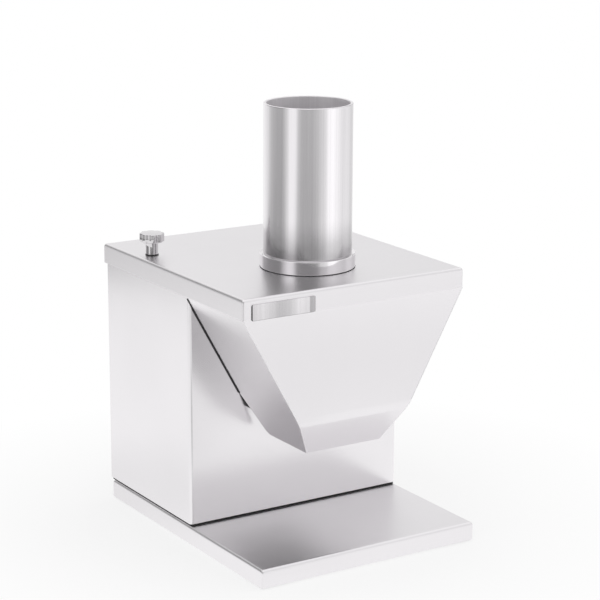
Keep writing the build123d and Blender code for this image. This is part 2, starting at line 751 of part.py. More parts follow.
# Run capacitor on the tray, held by a clip
capacitor_x = flange_width + capacitor_flange_gap + capacitor_diameter / 2 - inner_width / 2
capacitor_y = shell_rear - sheet - capacitor_rear_gap - capacitor_diameter / 2
capacitor_point = [(capacitor_x, capacitor_y)]
clip_inner = capacitor_diameter + 2 * weld_gap
clip_outer = clip_inner + 2 * clip_thickness
clip_leg_x = capacitor_x + clip_outer / 2 - clip_thickness
with BuildPart() as run_capacitor:
    discs(capacitor_point, capacitor_diameter, tray_top, capacitor_height)
    fillet(run_capacitor.edges().sort_by(Axis.Z)[-1], capacitor_edge_radius)
save(run_capacitor, "run_capacitor")

with BuildPart() as capacitor_clip:
    discs(capacitor_point, clip_outer, tray_top + clip_rise, clip_height)
    slab((clip_leg_x, capacitor_y - clip_height / 2),
         (clip_leg_x + clip_thickness, capacitor_y + clip_height / 2), tray_top, clip_rise + clip_height)
    slab((clip_leg_x, capacitor_y - clip_height / 2),
         (clip_leg_x + clip_height, capacitor_y + clip_height / 2), tray_top, clip_thickness)
    discs(capacitor_point, clip_inner, tray_top, clip_rise + clip_height, Mode.SUBTRACT)
save(capacitor_clip, "capacitor_clip")

# Terminal block with a row of clamp screws
terminal_low = (flange_width + terminal_flange_gap - inner_width / 2,
                housing_front + sheet + flange_width + terminal_front_gap)
terminal_high = (terminal_low[0] + terminal_width, terminal_low[1] + terminal_length)
terminal_x = terminal_low[0] + terminal_width / 2
terminal_y = terminal_low[1] + terminal_length / 2
terminal_pitch = terminal_length / 4
with BuildPart() as terminal_block:
    slab(terminal_low, terminal_high, tray_top, terminal_height)
    with BuildSketch(Plane.XY.offset(tray_top + terminal_height)):
        with Locations((terminal_x, terminal_y)):
            with GridLocations(terminal_width / 2, terminal_pitch, 2, 4):
                Circle(terminal_pocket_diameter / 2)
    extrude(amount=-terminal_pocket_depth, mode=Mode.SUBTRACT)
save(terminal_block, "terminal_block")

# Power inlet on the rear panel: flange, body with an open recess, and three flat pins
inlet_depth_plane = Plane.XZ.offset(-housing_rear)
inlet_face_plane = Plane.XZ.offset(-housing_rear - inlet_flange)
with BuildPart() as power_inlet:
    with BuildSketch(inlet_depth_plane):
        with Locations((inlet_x, inlet_z)):
            RectangleRounded(inlet_flange_width, inlet_flange_height, bend_radius)
        with Locations((inlet_x - inlet_screw_spacing / 2, inlet_z),
                       (inlet_x + inlet_screw_spacing / 2, inlet_z)):
            Circle(m3 / 2 + thread_gap, mode=Mode.SUBTRACT)
    extrude(amount=-inlet_flange)
    with BuildSketch(inlet_depth_plane):
        with Locations((inlet_x, inlet_z)):
            Rectangle(inlet_body_width, inlet_body_height)
    extrude(amount=inlet_body_depth)
    with BuildSketch(inlet_face_plane):
        with Locations((inlet_x, inlet_z)):
            Rectangle(inlet_body_width - 2 * inlet_wall, inlet_body_height - 2 * inlet_wall)
    extrude(amount=inlet_recess, mode=Mode.SUBTRACT)
    with BuildSketch(Plane.XZ.offset(inlet_recess - inlet_flange - housing_rear)):
        with Locations((inlet_x - inlet_pin_pitch, inlet_z - inlet_earth_rise / 2),
                       (inlet_x + inlet_pin_pitch, inlet_z - inlet_earth_rise / 2),
                       (inlet_x, inlet_z + inlet_earth_rise / 2)):
            Rectangle(inlet_pin_width, inlet_pin_height)
    extrude(amount=-inlet_pin_length)
    with BuildSketch(inlet_face_plane):
        with Locations((inlet_x - inlet_screw_spacing / 2, inlet_z),
                       (inlet_x + inlet_screw_spacing / 2, inlet_z)):
            Circle(m3 * head_ratio / 2 + thread_gap)
    extrude(amount=inlet_flange / 2, mode=Mode.SUBTRACT)
save(power_inlet, "power_inlet")

with BuildPart() as inlet_screws:
    inlet_screw_points = [(inlet_x - inlet_screw_spacing / 2, inlet_z),
                          (inlet_x + inlet_screw_spacing / 2, inlet_z)]
    with BuildSketch(Plane.XZ.offset(-housing_rear - inlet_flange / 2)):
        with Locations(*inlet_screw_points):
            Circle(m3 * head_ratio / 2)
    extrude(amount=-inlet_flange / 2)
    with BuildSketch(Plane.XZ.offset(-housing_rear - inlet_flange / 2)):
        with Locations(*inlet_screw_points):
            Circle(m3 / 2)
    extrude(amount=inlet_screw_length)
save(inlet_screws, "inlet_screws")

# Switch bezel in the right wall, with guide bores for the two buttons
wall_outer = housing_width / 2
bezel_face = wall_outer + bezel_flange
bezel_inner = bezel_face - bezel_body_depth
button_points = [(switch_centre_y, switch_centre_z + button_pitch / 2),
                 (switch_centre_y, switch_centre_z - button_pitch / 2)]
bezel_body_width = bezel_width - 2 * bezel_body_margin - hole_allowance
bezel_body_height = bezel_height - 2 * bezel_body_margin - hole_allowance
with BuildPart() as switch_bezel:
    with BuildSketch(Plane.YZ.offset(wall_outer)):
        with Locations((switch_centre_y, switch_centre_z)):
            RectangleRounded(bezel_width, bezel_height, bend_radius)
    extrude(amount=bezel_flange)
    with BuildSketch(Plane.YZ.offset(bezel_inner)):
        with Locations((switch_centre_y, switch_centre_z)):
            Rectangle(bezel_body_width, bezel_body_height)
    extrude(amount=wall_outer - bezel_inner)
    with BuildSketch(Plane.YZ.offset(bezel_inner)):
        with Locations(*button_points):
            Circle(button_diameter / 2 + guide_gap)
    extrude(amount=bezel_body_depth, mode=Mode.SUBTRACT)
save(switch_bezel, "switch_bezel")

# Contact block behind the bezel, with a bore for each button's plunger
with BuildPart() as switch_block:
    with BuildSketch(Plane.YZ.offset(bezel_inner)):
        with Locations((switch_centre_y, switch_centre_z)):
            Rectangle(bezel_body_width, bezel_body_height)
    extrude(amount=-switch_block_depth)
    with BuildSketch(Plane.YZ.offset(bezel_inner)):
        with Locations(*button_points):
            Circle(plunger_diameter / 2 + guide_gap)
    extrude(amount=-plunger_length - button_travel - guide_gap, mode=Mode.SUBTRACT)
save(switch_block, "switch_block")

# Start and stop buttons, pushed towards the wall; the upper one starts the knife
button_face = bezel_face - button_recess
for label, point in (("start_button", button_points[0]), ("stop_button", button_points[1])):
    with BuildPart() as button:
        with BuildSketch(Plane.YZ.offset(button_face)):
            with Locations(point):
                Circle(button_diameter / 2)
        extrude(amount=-button_length)
        chamfer(button.faces().sort_by(Axis.X)[-1].edges(), button_recess)
        with BuildSketch(Plane.YZ.offset(button_face)):
            with Locations(point):
                Circle(plunger_diameter / 2)
        extrude(amount=bezel_inner - button_face - plunger_length)
    save(button, label)

# Cover sensor on the deck and the magnet under the lid that wakes it
sensor_low = (sensor_wall_gap - inner_width / 2, shell_rear - sheet - sensor_rear_gap - sensor_depth)
sensor_high = (sensor_low[0] + sensor_width, sensor_low[1] + sensor_depth)
magnet_bottom = deck_top + sensor_height + magnet_gap
with BuildPart() as cover_sensor:
    slab(sensor_low, sensor_high, deck_top, sensor_height)
    fillet(cover_sensor.edges().filter_by(Axis.Z), corner_radius)
save(cover_sensor, "cover_sensor")

with BuildPart() as cover_magnet:
    slab(sensor_low, sensor_high, magnet_bottom, lid_under - magnet_bottom)
    fillet(cover_magnet.edges().filter_by(Axis.Z), corner_radius)
save(cover_magnet, "cover_magnet")

# Insulated leads from the inlet, the switch, the motor and the capacitor to the terminal block
floor_level = tray_top + wire_diameter
terminal_right = terminal_high[0] + weld_gap
terminal_back = terminal_high[1] + weld_gap
inlet_back = housing_rear - inlet_body_depth - weld_gap
inlet_turn = inlet_back - 2 * wire_bend_radius
mains_y = terminal_y + terminal_pitch
switch_y = terminal_y - terminal_pitch
switch_lead_x = bezel_inner - switch_block_depth / 2
switch_lead_top = switch_centre_z - bezel_body_height / 2 - weld_gap
motor_lead_top = can_bottom + motor_lead_rise
motor_left = -motor_diameter / 2 - weld_gap
lead_routes = [
    [(inlet_x, inlet_back, inlet_z), (inlet_x, inlet_turn, inlet_z), (inlet_x, inlet_turn, floor_level),
     (inlet_x, mains_y, floor_level), (terminal_right, mains_y, floor_level)],
    [(switch_lead_x, switch_centre_y, switch_lead_top), (switch_lead_x, switch_centre_y, floor_level),
     (switch_lead_x, switch_y, floor_level), (terminal_right, switch_y, floor_level)],
    [(motor_left, motor_y, motor_lead_top), (terminal_x, motor_y, motor_lead_top),
     (terminal_x, motor_y, floor_level), (terminal_x, terminal_back, floor_level)],
]
with BuildPart() as wiring_leads:
    for route in lead_routes:
        with BuildLine() as lead_path:
            FilletPolyline(*route, radius=wire_bend_radius)
        with BuildSketch(Plane(origin=lead_path.line @ 0, z_dir=lead_path.line % 0)):
            Circle(wire_diameter / 2)
        sweep(path=lead_path.line)
save(wiring_leads, "wiring_leads")

# Lid: folded sheet pan turned down at all four edges, with holes for the tube and the screws
with BuildPart() as lid_plate:
    with BuildSketch(Plane.XY.offset(lid_lip_bottom)):
        with Locations((0, lid_middle)):
            RectangleRounded(lid_width, lid_depth, corner_radius)
    extrude(amount=lid_lip_height)
    fillet(lid_plate.faces().sort_by(Axis.Z)[-1].edges(), bend_radius)
    slab((sheet - lid_width / 2, lid_front + sheet), (lid_width / 2 - sheet, rear - sheet),
         lid_lip_bottom, lid_lip_height - sheet, Mode.SUBTRACT)
    discs([(0, tube_y)], tube_outer + 2 * weld_gap, lid_top, -cut_through, Mode.SUBTRACT)
    discs(thumb_points, thumb_shank_diameter + 2 * cover_gap, lid_top, -cut_through, Mode.SUBTRACT)
save(lid_plate, "lid_plate")


def chute_front_points(inset):
    """Corners of the chute's front sheet seen from the side, moved in from its outer face."""
    slope = radians(chute_bend_angle)
    bend_point = (lid_front + inset, chute_bend_z + inset * tan(slope / 2))
    foot_y = lid_front + chute_bend_height * tan(slope) + inset / cos(slope)
    return [(lid_front + inset, lid_lip_bottom), bend_point, (foot_y, chute_bottom)]


# Chute front: a tapering sheet below the lid's front lip, bent back above the mouth
with BuildPart() as chute_front:
    with BuildSketch(Plane.YZ):
        with BuildLine():
            outer_line = FilletPolyline(*chute_front_points(0), radius=chute_bend_radius)
            inner_line = FilletPolyline(*chute_front_points(sheet), radius=chute_bend_radius - sheet)
            Line(outer_line @ 0, inner_line @ 0)
            Line(outer_line @ 1, inner_line @ 1)
        make_face()
    extrude(amount=lid_width / 2, both=True)
    with BuildSketch(Plane.XZ):
        with BuildLine():
            Polyline((-lid_width / 2, lid_lip_bottom), (lid_width / 2, lid_lip_bottom),
                     (chute_mouth_width / 2, chute_bottom), (-chute_mouth_width / 2, chute_bottom),
                     close=True)
        make_face()
    extrude(amount=lid_depth, both=True, mode=Mode.INTERSECT)
save(chute_front, "chute_front")

# Chute sides: slanting sheets welded behind the front sheet, shaped to pass the housing's front
taper_angle = atan2((lid_width - chute_mouth_width) / 2, lid_lip_bottom - chute_bottom)
side_sheet_width = sheet / cos(taper_angle)
chute_rear = housing_front - chute_gap
with BuildPart() as chute_right:
    with BuildSketch(Plane.XZ):
        with BuildLine():
            Polyline((lid_width / 2, lid_lip_bottom), (chute_mouth_width / 2, chute_bottom),
                     (chute_mouth_width / 2 - side_sheet_width, chute_bottom),
                     (lid_width / 2 - side_sheet_width, lid_lip_bottom), close=True)
        make_face()
    extrude(amount=lid_depth, both=True)
    with BuildSketch(Plane.YZ) as side_outline:
        with BuildLine():
            front_line = FilletPolyline(*chute_front_points(sheet + weld_gap / 2),
                                        radius=chute_bend_radius - sheet)
            rear_line = FilletPolyline(
                front_line @ 1, (chute_rear - chute_rear_taper_run, chute_bottom),
                (chute_rear, chute_bottom + chute_rear_taper_height), (chute_rear, lid_lip_bottom),
                radius=chute_corner_radius)
            Line(rear_line @ 1, front_line @ 0)
        make_face()
    extrude(amount=lid_width, mode=Mode.INTERSECT)
save(chute_right, "chute_right")

with BuildPart() as chute_left:
    mirror(chute_right.part, about=Plane.YZ)
save(chute_left, "chute_left")

# Feed tube: stands through the lid, with its rim rounded
tube_bottom = knife_top + tube_above_knife
with BuildPart() as feed_tube:
    with BuildSketch(Plane.XY.offset(tube_bottom)):
        with Locations((0, tube_y)):
            Circle(tube_outer / 2)
            Circle(tube_outer / 2 - tube_wall, mode=Mode.SUBTRACT)
    extrude(amount=lid_top + tube_height - tube_bottom)
    fillet(feed_tube.faces().sort_by(Axis.Z)[-1].edges(), tube_edge_radius)
save(feed_tube, "feed_tube")

# Collar ring welded round the foot of the tube
with BuildPart() as tube_collar:
    with BuildSketch(Plane.XY.offset(lid_top)):
        with Locations((0, tube_y)):
            Circle(collar_outer / 2)
            Circle(tube_outer / 2 + weld_gap, mode=Mode.SUBTRACT)
    extrude(amount=collar_height)
    fillet(tube_collar.faces().sort_by(Axis.Z)[-1].edges().sort_by(SortBy.LENGTH)[-1], tube_edge_radius)
save(tube_collar, "tube_collar")

# Blank name plate bonded to the front, just below the lid's front edge
plate_x = plate_from_left + plate_width / 2 - lid_width / 2
plate_z = lid_top - plate_below_top - plate_height / 2
with BuildPart() as name_plate:
    with BuildSketch(Plane.XZ.offset(-lid_front)):
        with Locations((plate_x, plate_z)):
            RectangleRounded(plate_width, plate_height, plate_corner)
    extrude(amount=plate_thickness)
save(name_plate, "name_plate")

# Thumb screws with scalloped heads, each on a thin washer that rises with it
washer_top = lid_top + washer_thickness
thumb_top = lid_top + thumb_total_height
thumb_head_bottom = thumb_top - thumb_head_height
thumb_end = lid_under - thumb_engagement
scallop_circle = thumb_head_diameter / 2 + thumb_scallop_radius - thumb_scallop_depth
for side, point in (("left", thumb_points[0]), ("right", thumb_points[1])):
    with BuildPart() as thumb_screw:
        discs([point], thumb_head_diameter, thumb_head_bottom, thumb_head_height)
        chamfer(thumb_screw.faces().sort_by(Axis.Z)[-1].edges(), thumb_edge_chamfer)
        with BuildSketch(Plane.XY.offset(thumb_head_bottom)):
            with Locations(point):
                with PolarLocations(scallop_circle, thumb_scallops):
                    Circle(thumb_scallop_radius)
        extrude(amount=thumb_head_height, mode=Mode.SUBTRACT)
        discs([point], thumb_stem_diameter, washer_top, thumb_head_bottom - washer_top)
        discs([point], thumb_shank_diameter, washer_top, thumb_end - washer_top)
    save(thumb_screw, f"thumb_screw_{side}")
    with BuildPart() as thumb_washer:
        discs([point], washer_diameter, lid_top, washer_thickness)
        discs([point], thumb_shank_diameter + 2 * shaft_gap, lid_top, washer_thickness, Mode.SUBTRACT)
    save(thumb_washer, f"thumb_washer_{side}")
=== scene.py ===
from math import cos, pi, radians, sin

import bpy
from mathutils import Matrix, Vector


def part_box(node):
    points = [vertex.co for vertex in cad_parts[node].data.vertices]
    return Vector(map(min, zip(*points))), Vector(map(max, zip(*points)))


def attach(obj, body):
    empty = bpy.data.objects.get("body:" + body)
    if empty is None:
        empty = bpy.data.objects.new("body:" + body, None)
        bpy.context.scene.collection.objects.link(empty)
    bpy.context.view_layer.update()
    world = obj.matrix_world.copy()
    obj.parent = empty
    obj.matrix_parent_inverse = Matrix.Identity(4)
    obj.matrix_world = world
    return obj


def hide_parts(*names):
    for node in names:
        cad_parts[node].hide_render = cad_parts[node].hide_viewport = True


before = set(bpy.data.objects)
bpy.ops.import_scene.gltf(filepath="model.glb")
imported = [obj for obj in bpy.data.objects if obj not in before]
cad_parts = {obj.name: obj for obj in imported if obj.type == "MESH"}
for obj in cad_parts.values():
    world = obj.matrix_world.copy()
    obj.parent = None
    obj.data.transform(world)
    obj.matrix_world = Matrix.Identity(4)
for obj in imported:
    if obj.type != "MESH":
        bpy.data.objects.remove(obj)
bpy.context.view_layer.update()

# View: a long lens that looks at the slicer's front and left wall from a little above the lid,
# from about 1.7 m away, with almost no roll.
camera_place = Vector((-0.8412, -1.3445, 0.5892))
camera_yaw = radians(32.415)
camera_pitch = radians(14.255)
camera_roll = radians(0.261)
focal_pixels = 2026.65
frame_pixels = 600
sensor_width = 36.0
camera_data = bpy.data.cameras.new("view")
camera_data.sensor_width = sensor_width
camera_data.lens = focal_pixels / frame_pixels * sensor_width
camera_data.clip_end = 50
camera = bpy.data.objects.new("view", camera_data)
camera.location = camera_place
turn = (Matrix.Rotation(-camera_yaw, 3, "Z") @ Matrix.Rotation(pi / 2 - camera_pitch, 3, "X")
        @ Matrix.Rotation(camera_roll, 3, "Z"))
camera.rotation_euler = turn.to_euler()
bpy.context.collection.objects.link(camera)
bpy.context.scene.camera = camera
bpy.context.scene.view_settings.view_transform = "Standard"


# Studio room: white all round where the view looks, with tall white panels to the left and right of the
# view and greyer walls between them, which the steel mirrors as soft bands. It lights the rest evenly.
def make(tree, kind, inputs, **settings):
    """Adds a node, sets what it is given, and links the inputs that come from other nodes."""
    node = tree.nodes.new(kind)
    for key, value in settings.items():
        setattr(node, key, value)
    for key, value in inputs.items():
        if isinstance(value, bpy.types.NodeSocket):
            tree.links.new(value, node.inputs[key])
        else:
            node.inputs[key].default_value = value
    return node


def place(tree, kind, inputs, **settings):
    """Adds a shader node."""
    return make(tree, "ShaderNode" + kind, inputs, **settings)


def number(tree, operation, *values):
    """A Math node on sockets or plain numbers."""
    return place(tree, "Math", dict(enumerate(values)), operation=operation).outputs[0]


def faded(tree, value, start, end, low=0.0, high=1.0, easing="SMOOTHSTEP"):
    """Runs from low to high while the value runs from start to end."""
    return place(tree, "MapRange", {"Value": value, "From Min": start, "From Max": end, "To Min": low,
                                    "To Max": high}, interpolation_type=easing).outputs[0]


def banded(tree, share, bands, easing="LINEAR"):
    """A level along a share, from its (place, level) bands.
    A ramp's colours end at one, so they are halved in it and doubled after it."""
    ramp = place(tree, "ValToRGB", {"Fac": share})
    ramp.color_ramp.interpolation = easing
    stops = ramp.color_ramp.elements
    for step, (spot, level) in enumerate(bands):
        stop = stops[step] if step < 2 else stops.new(spot)
        stop.position = spot
        stop.color = (level / 2, level / 2, level / 2, 1)
    return number(tree, "MULTIPLY", ramp.outputs["Color"], 2.0)


# The panels as bearings from the view's own side and their levels, and the greyer walls as the middle and
# half width of their bearings, their level, and the rise at which they start and are full.
panel_light = (
    (-180, 0.95), (-150, 1.02), (-128, 0.90), (-104, 0.58), (-88, 0.50), (-70, 0.48), (-58, 0.74),
    (-47, 1.06), (-31, 1.10), (-25, 0.68), (-14, 0.56), (6, 0.57), (22, 0.65), (37, 0.77),
    (46, 0.88), (53, 1.18), (65, 1.24), (79, 1.12), (100, 0.92), (122, 0.95), (145, 0.76),
    (162, 0.84), (180, 0.95),
)
dark_walls = (
    (-100, 44, 0.40, 2, 12), (66, 46, 0.80, -3, 6), (-2, 38, 0.40, 0, 8),
    (-94, 42, 0.52, -11.3, -12.8), (-4, 38, 0.50, -11.3, -12.8),
)
wall_fade = 16
overhead_start, overhead_full, overhead_level = 32, 56, 1.15
room_strength = 0.62
view_side = radians(-122.35)
white = (1, 1, 1, 1)
world = bpy.data.worlds.new("studio")
world.use_nodes = True
bpy.context.scene.world = world
room = world.node_tree
room.nodes.clear()
direction = place(room, "TexCoord", {}).outputs["Generated"]
turned_way = place(room, "VectorRotate", {"Vector": direction, "Angle": -view_side},
                   rotation_type="Z_AXIS").outputs["Vector"]
way = place(room, "SeparateXYZ", {"Vector": turned_way}).outputs
bearing_angle = number(room, "ARCTAN2", way["Y"], way["X"])
wall_level = banded(room, faded(room, bearing_angle, -pi, pi, easing="LINEAR"),
                    [((angle + 180) / 360, level) for angle, level in panel_light], "EASE")
for middle, half_width, level, foot, rise in dark_walls:
    off_middle = number(room, "ABSOLUTE", number(room, "SUBTRACT", bearing_angle, radians(middle)))
    across = faded(room, off_middle, radians(half_width), radians(half_width - wall_fade))
    above = faded(room, way["Z"], sin(radians(foot)), sin(radians(rise)))
    dimmed = number(room, "MULTIPLY_ADD", number(room, "MULTIPLY", across, above), level - 1.0, 1.0)
    wall_level = number(room, "MULTIPLY", wall_level, dimmed)
overhead = faded(room, way["Z"], sin(radians(overhead_start)), sin(radians(overhead_full)))
mirrored_level = number(room, "ADD",
                        number(room, "MULTIPLY", wall_level, number(room, "SUBTRACT", 1.0, overhead)),
                        number(room, "MULTIPLY", overhead, overhead_level))
room_light = place(room, "Background", {"Color": white, "Strength": room_strength})
mirrored = place(room, "Background", {"Color": white, "Strength": mirrored_level})
backdrop_white = place(room, "Background", {"Color": white, "Strength": 1.0})
rays = place(room, "LightPath", {}).outputs
lit_room = place(room, "MixShader", {"Fac": rays["Is Glossy Ray"], 1: room_light.outputs[0],
                                     2: mirrored.outputs[0]})
clear_view = number(room, "MAXIMUM", rays["Is Camera Ray"], rays["Is Transmission Ray"])
seen_room = place(room, "MixShader", {"Fac": clear_view, 1: lit_room.outputs[0],
                                      2: backdrop_white.outputs[0]})
place(room, "OutputWorld", {"Surface": seen_room.outputs[0]})


# Worktop: a round white table top. To the view it is as white as the room, and keeps a soft shadow close to
# the machine. In the steel it shows painted light close to the machine and two spots of painted shade before
# and beside it.
def new_material(name):
    """Empty node material with its tree."""
    material = bpy.data.materials.new(name)
    material.use_nodes = True
    material.node_tree.nodes.clear()
    return material, material.node_tree


def built(name, spots, faces, material=None):
    """Mesh object from its corners and faces."""
    mesh = bpy.data.meshes.new(name)
    mesh.from_pydata(spots, [], faces)
    if material:
        mesh.materials.append(material)
    piece = bpy.data.objects.new(name, mesh)
    bpy.context.collection.objects.link(piece)
    return piece


table_radius = 0.95
table_corners = 96
shadow_near, shadow_far, shadow_white = 0.16, 0.36, 0.72
near_end, far_start = 0.35, 0.65
mirrored_near, mirrored_far, mirrored_slant = 1.08, 1.01, 0.05
slant_way = (-0.53, 0.85, 0.0)
mirrored_shades = ((-0.10, -0.36, 0.06, 0.22, 0.50), (-0.11, 0.14, 0.03, 0.18, 0.90))
paper_white = (0.9, 0.9, 0.9, 1)
table_white, tree = new_material("worktop_white")
table_place = place(tree, "TexCoord", {}).outputs["Object"]
away = place(tree, "VectorMath", {0: table_place}, operation="LENGTH").outputs["Value"]
far_share = faded(tree, away, shadow_near, shadow_far, shadow_white, 1.0, "LINEAR")
bearing_way = place(tree, "VectorMath", {0: table_place}, operation="NORMALIZE").outputs[0]
toward = place(tree, "VectorMath", {0: bearing_way, 1: slant_way}, operation="DOT_PRODUCT").outputs["Value"]
far_light = number(tree, "MULTIPLY_ADD", toward, mirrored_slant, mirrored_far)
table_light = faded(tree, away, near_end, far_start, mirrored_near, far_light, "LINEAR")
# Painted shade: two darker spots on the table that only the steel shows.
for across, back, near, far, level in mirrored_shades:
    off_shade = place(tree, "VectorMath", {0: table_place, 1: (across, back, 0.0)},
                      operation="DISTANCE").outputs["Value"]
    table_light = number(tree, "MULTIPLY", table_light, faded(tree, off_shade, near, far, level, 1.0))
rays = place(tree, "LightPath", {}).outputs
shown = number(tree, "MAXIMUM", number(tree, "MAXIMUM", rays["Is Camera Ray"], rays["Is Glossy Ray"]),
               rays["Is Transmission Ray"])
white_share = number(tree, "MULTIPLY", shown, number(tree, "MAXIMUM", far_share, rays["Is Glossy Ray"]))
paper = place(tree, "BsdfPrincipled", {"Base Color": paper_white, "Roughness": 0.9,
                                       "Specular IOR Level": 0.1})
shine = number(tree, "MULTIPLY_ADD", rays["Is Glossy Ray"], number(tree, "SUBTRACT", table_light, 1.0), 1.0)
glow = place(tree, "Emission", {"Color": white, "Strength": shine})
table_mix = place(tree, "MixShader", {"Fac": white_share, 1: paper.outputs[0], 2: glow.outputs[0]})
place(tree, "OutputMaterial", {"Surface": table_mix.outputs[0]})
table = built("worktop", [(table_radius * cos(2 * pi * i / table_corners),
                           table_radius * sin(2 * pi * i / table_corners), 0) for i in range(table_corners)],
              [tuple(range(table_corners))], table_white)

# Lamps: three wide soft lamps, left, right and above, for the shape of what isn't steel. The steel
# mirrors the room and not the lamps.
lamp_aim = Vector((0, 0, 0.15))
lamps = (
    ("lamp_left", (-1.3, -1.1, 1.5), 1.4, 7.0),
    ("lamp_right", (1.5, -0.9, 1.3), 1.4, 5.5),
    ("lamp_above", (0.1, 0.1, 2.0), 1.8, 9.0),
)
for name, lamp_place, size, power in lamps:
    lamp_data = bpy.data.lights.new(name, "AREA")
    lamp_data.size = size
    lamp_data.energy = power
    lamp = bpy.data.objects.new(name, lamp_data)
    lamp.location = lamp_place
    lamp.rotation_euler = (lamp_aim - Vector(lamp_place)).to_track_quat("-Z", "Y").to_euler()
    lamp.visible_glossy = False
    bpy.context.collection.objects.link(lamp)


# Tray: a pan folded from 1.5 mm stainless sheet and turned down at its edges. Its satin finish is ground
# across the machine, so its grain runs from side to side.
def new_group(name, inputs):
    """Empty finish group: the named inputs, and a colour, a roughness and a height out."""
    group = bpy.data.node_groups.new(name, "ShaderNodeTree")
    for socket, kind in inputs.items():
        group.interface.new_socket(name=socket, in_out="INPUT", socket_type="NodeSocket" + kind)
    for socket, kind in (("Colour", "Color"), ("Roughness", "Float"), ("Height", "Float")):
        group.interface.new_socket(name=socket, in_out="OUTPUT", socket_type="NodeSocket" + kind)
    return group, group.nodes.new("NodeGroupInput").outputs, group.nodes.new("NodeGroupOutput").inputs


def noise(tree, where, scale, detail, roughness=0.5, distortion=0.0):
    """A noise value from nought to one."""
    return place(tree, "TexNoise", {"Vector": where, "Scale": scale, "Detail": detail, "Roughness": roughness,
                                    "Distortion": distortion}).outputs[0]


def scaled(tree, vector, factor):
    """A vector or colour times a number."""
    return place(tree, "VectorMath", {0: vector, "Scale": factor}, operation="SCALE").outputs[0]


def swing(tree, value, share):
    """A noise value as a swing round nought, times a share."""
    return number(tree, "MULTIPLY", number(tree, "SUBTRACT", value, 0.5), share)


def send_out(tree, result, tint, first, second, roughness, height, base=1.0):
    """Ends a finish group. The two swings make its tint lighter and darker."""
    tone = number(tree, "ADD", number(tree, "ADD", first, second), base)
    tree.links.new(scaled(tree, tint, tone), result["Colour"])
    tree.links.new(roughness, result["Roughness"])
    tree.links.new(height, result["Height"])


satin, given, result = new_group("satin_grain", {
    "Place": "Vector", "Stretch": "Vector", "Side Stretch": "Vector", "Tint": "Color", "Gloss Loss": "Float",
    "Grain": "Float"})
side_facing, broad_scale = 0.7, 0.14
facing = place(satin, "SeparateXYZ", {"Vector": place(satin, "TexCoord", {}).outputs["Normal"]}).outputs["X"]
on_side = number(satin, "GREATER_THAN", number(satin, "ABSOLUTE", facing), side_facing)
# Sockets 4 and 5 of a Mix node are its two vectors, and output 1 is the mixed one.
stretch = place(satin, "Mix", {"Factor": on_side, 4: given["Stretch"], 5: given["Side Stretch"]},
                data_type="VECTOR").outputs[1]
drawn = place(satin, "VectorMath", {0: given["Place"], 1: stretch}, operation="MULTIPLY").outputs[0]
fine = noise(satin, drawn, scale=1.0, detail=4.0, roughness=0.65)
broad = noise(satin, scaled(satin, drawn, broad_scale), scale=1.0, detail=2.0)
cloud = noise(satin, given["Place"], scale=8.0, detail=3.0)
wiped = noise(satin, given["Place"], scale=22.0, detail=3.0, distortion=0.8)
streak = number(satin, "MULTIPLY", number(satin, "ADD", swing(satin, fine, 0.26), swing(satin, broad, 0.06)),
                given["Grain"])
loss = number(satin, "ADD", given["Gloss Loss"], number(satin, "MULTIPLY", streak, 0.5))
send_out(satin, result, given["Tint"], swing(satin, cloud, 0.07), streak,
         number(satin, "ADD", loss, swing(satin, wiped, 0.05)),
         number(satin, "MULTIPLY", fine, given["Grain"]))


def coat(tree, finish, relief, metallic=1.0, colour=None, roughness=None, strength=0.6):
    """Ends a material with the finish's relief, and its own colour and roughness where none is given."""
    bump = place(tree, "Bump", {"Height": finish["Height"], "Strength": strength, "Distance": relief})
    shader = place(tree, "BsdfPrincipled", {
        "Base Color": finish["Colour"] if colour is None else colour, "Metallic": metallic,
        "Roughness": finish["Roughness"] if roughness is None else roughness,
        "Normal": bump.outputs["Normal"]})
    place(tree, "OutputMaterial", {"Surface": shader.outputs[0]})


def finished(name, group, values, relief, metallic=1.0, spots=None):
    """Material whose colour, roughness and fine relief come from a finish group with its own values.
    Spots may be a function that makes the pattern's place from the Object coordinates."""
    material, tree = new_material(name)
    where = place(tree, "TexCoord", {}).outputs["Object"]
    inputs = {"Place": spots(tree, where) if spots else where}
    if "Stretch" in values:
        inputs["Side Stretch"] = values["Stretch"]
    finish = place(tree, "Group", {**inputs, **values}, node_tree=group).outputs
    coat(tree, finish, relief, metallic)
    return material


def dress(material, *nodes):
    """Gives pieces of the frame a material."""
    for node in nodes:
        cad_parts[node].data.materials.clear()
        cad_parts[node].data.materials.append(material)


sheet_tint = (0.80, 0.783, 0.80, 1)
sheet_across = finished("satin_sheet_across", satin, {
    "Stretch": (6, 2400, 2400), "Side Stretch": (2400, 6, 2400), "Tint": sheet_tint, "Gloss Loss": 0.33,
    "Grain": 0.16}, relief=0.000001)
dress(sheet_across, "base_tray")

# Feet: four moulded rubber feet under the tray's corners. Each is held by a zinc-plated socket screw, with
# its head sunk in the rubber from below, and by a nut welded under the tray.
moulded, given, result = new_group("moulded_skin", {
    "Place": "Vector", "Tint": "Color", "Grain Size": "Float", "Gloss Loss": "Float"})
grain_scale = number(moulded, "DIVIDE", 1.0, given["Grain Size"])
pebble = place(moulded, "TexVoronoi", {"Vector": given["Place"], "Scale": grain_scale}).outputs["Distance"]
flow = noise(moulded, given["Place"], scale=60.0, detail=3.0)
specks = noise(moulded, given["Place"], scale=1400.0, detail=1.0)
send_out(moulded, result, given["Tint"], swing(moulded, flow, 0.16), swing(moulded, specks, 0.16),
         number(moulded, "ADD", given["Gloss Loss"], swing(moulded, flow, 0.14)), pebble)
black_rubber = finished("black_rubber", moulded, {
    "Tint": (0.03, 0.03, 0.03, 1), "Grain Size": 0.0009, "Gloss Loss": 0.72}, relief=0.00008, metallic=0.0)
dress(black_rubber, "rubber_feet")

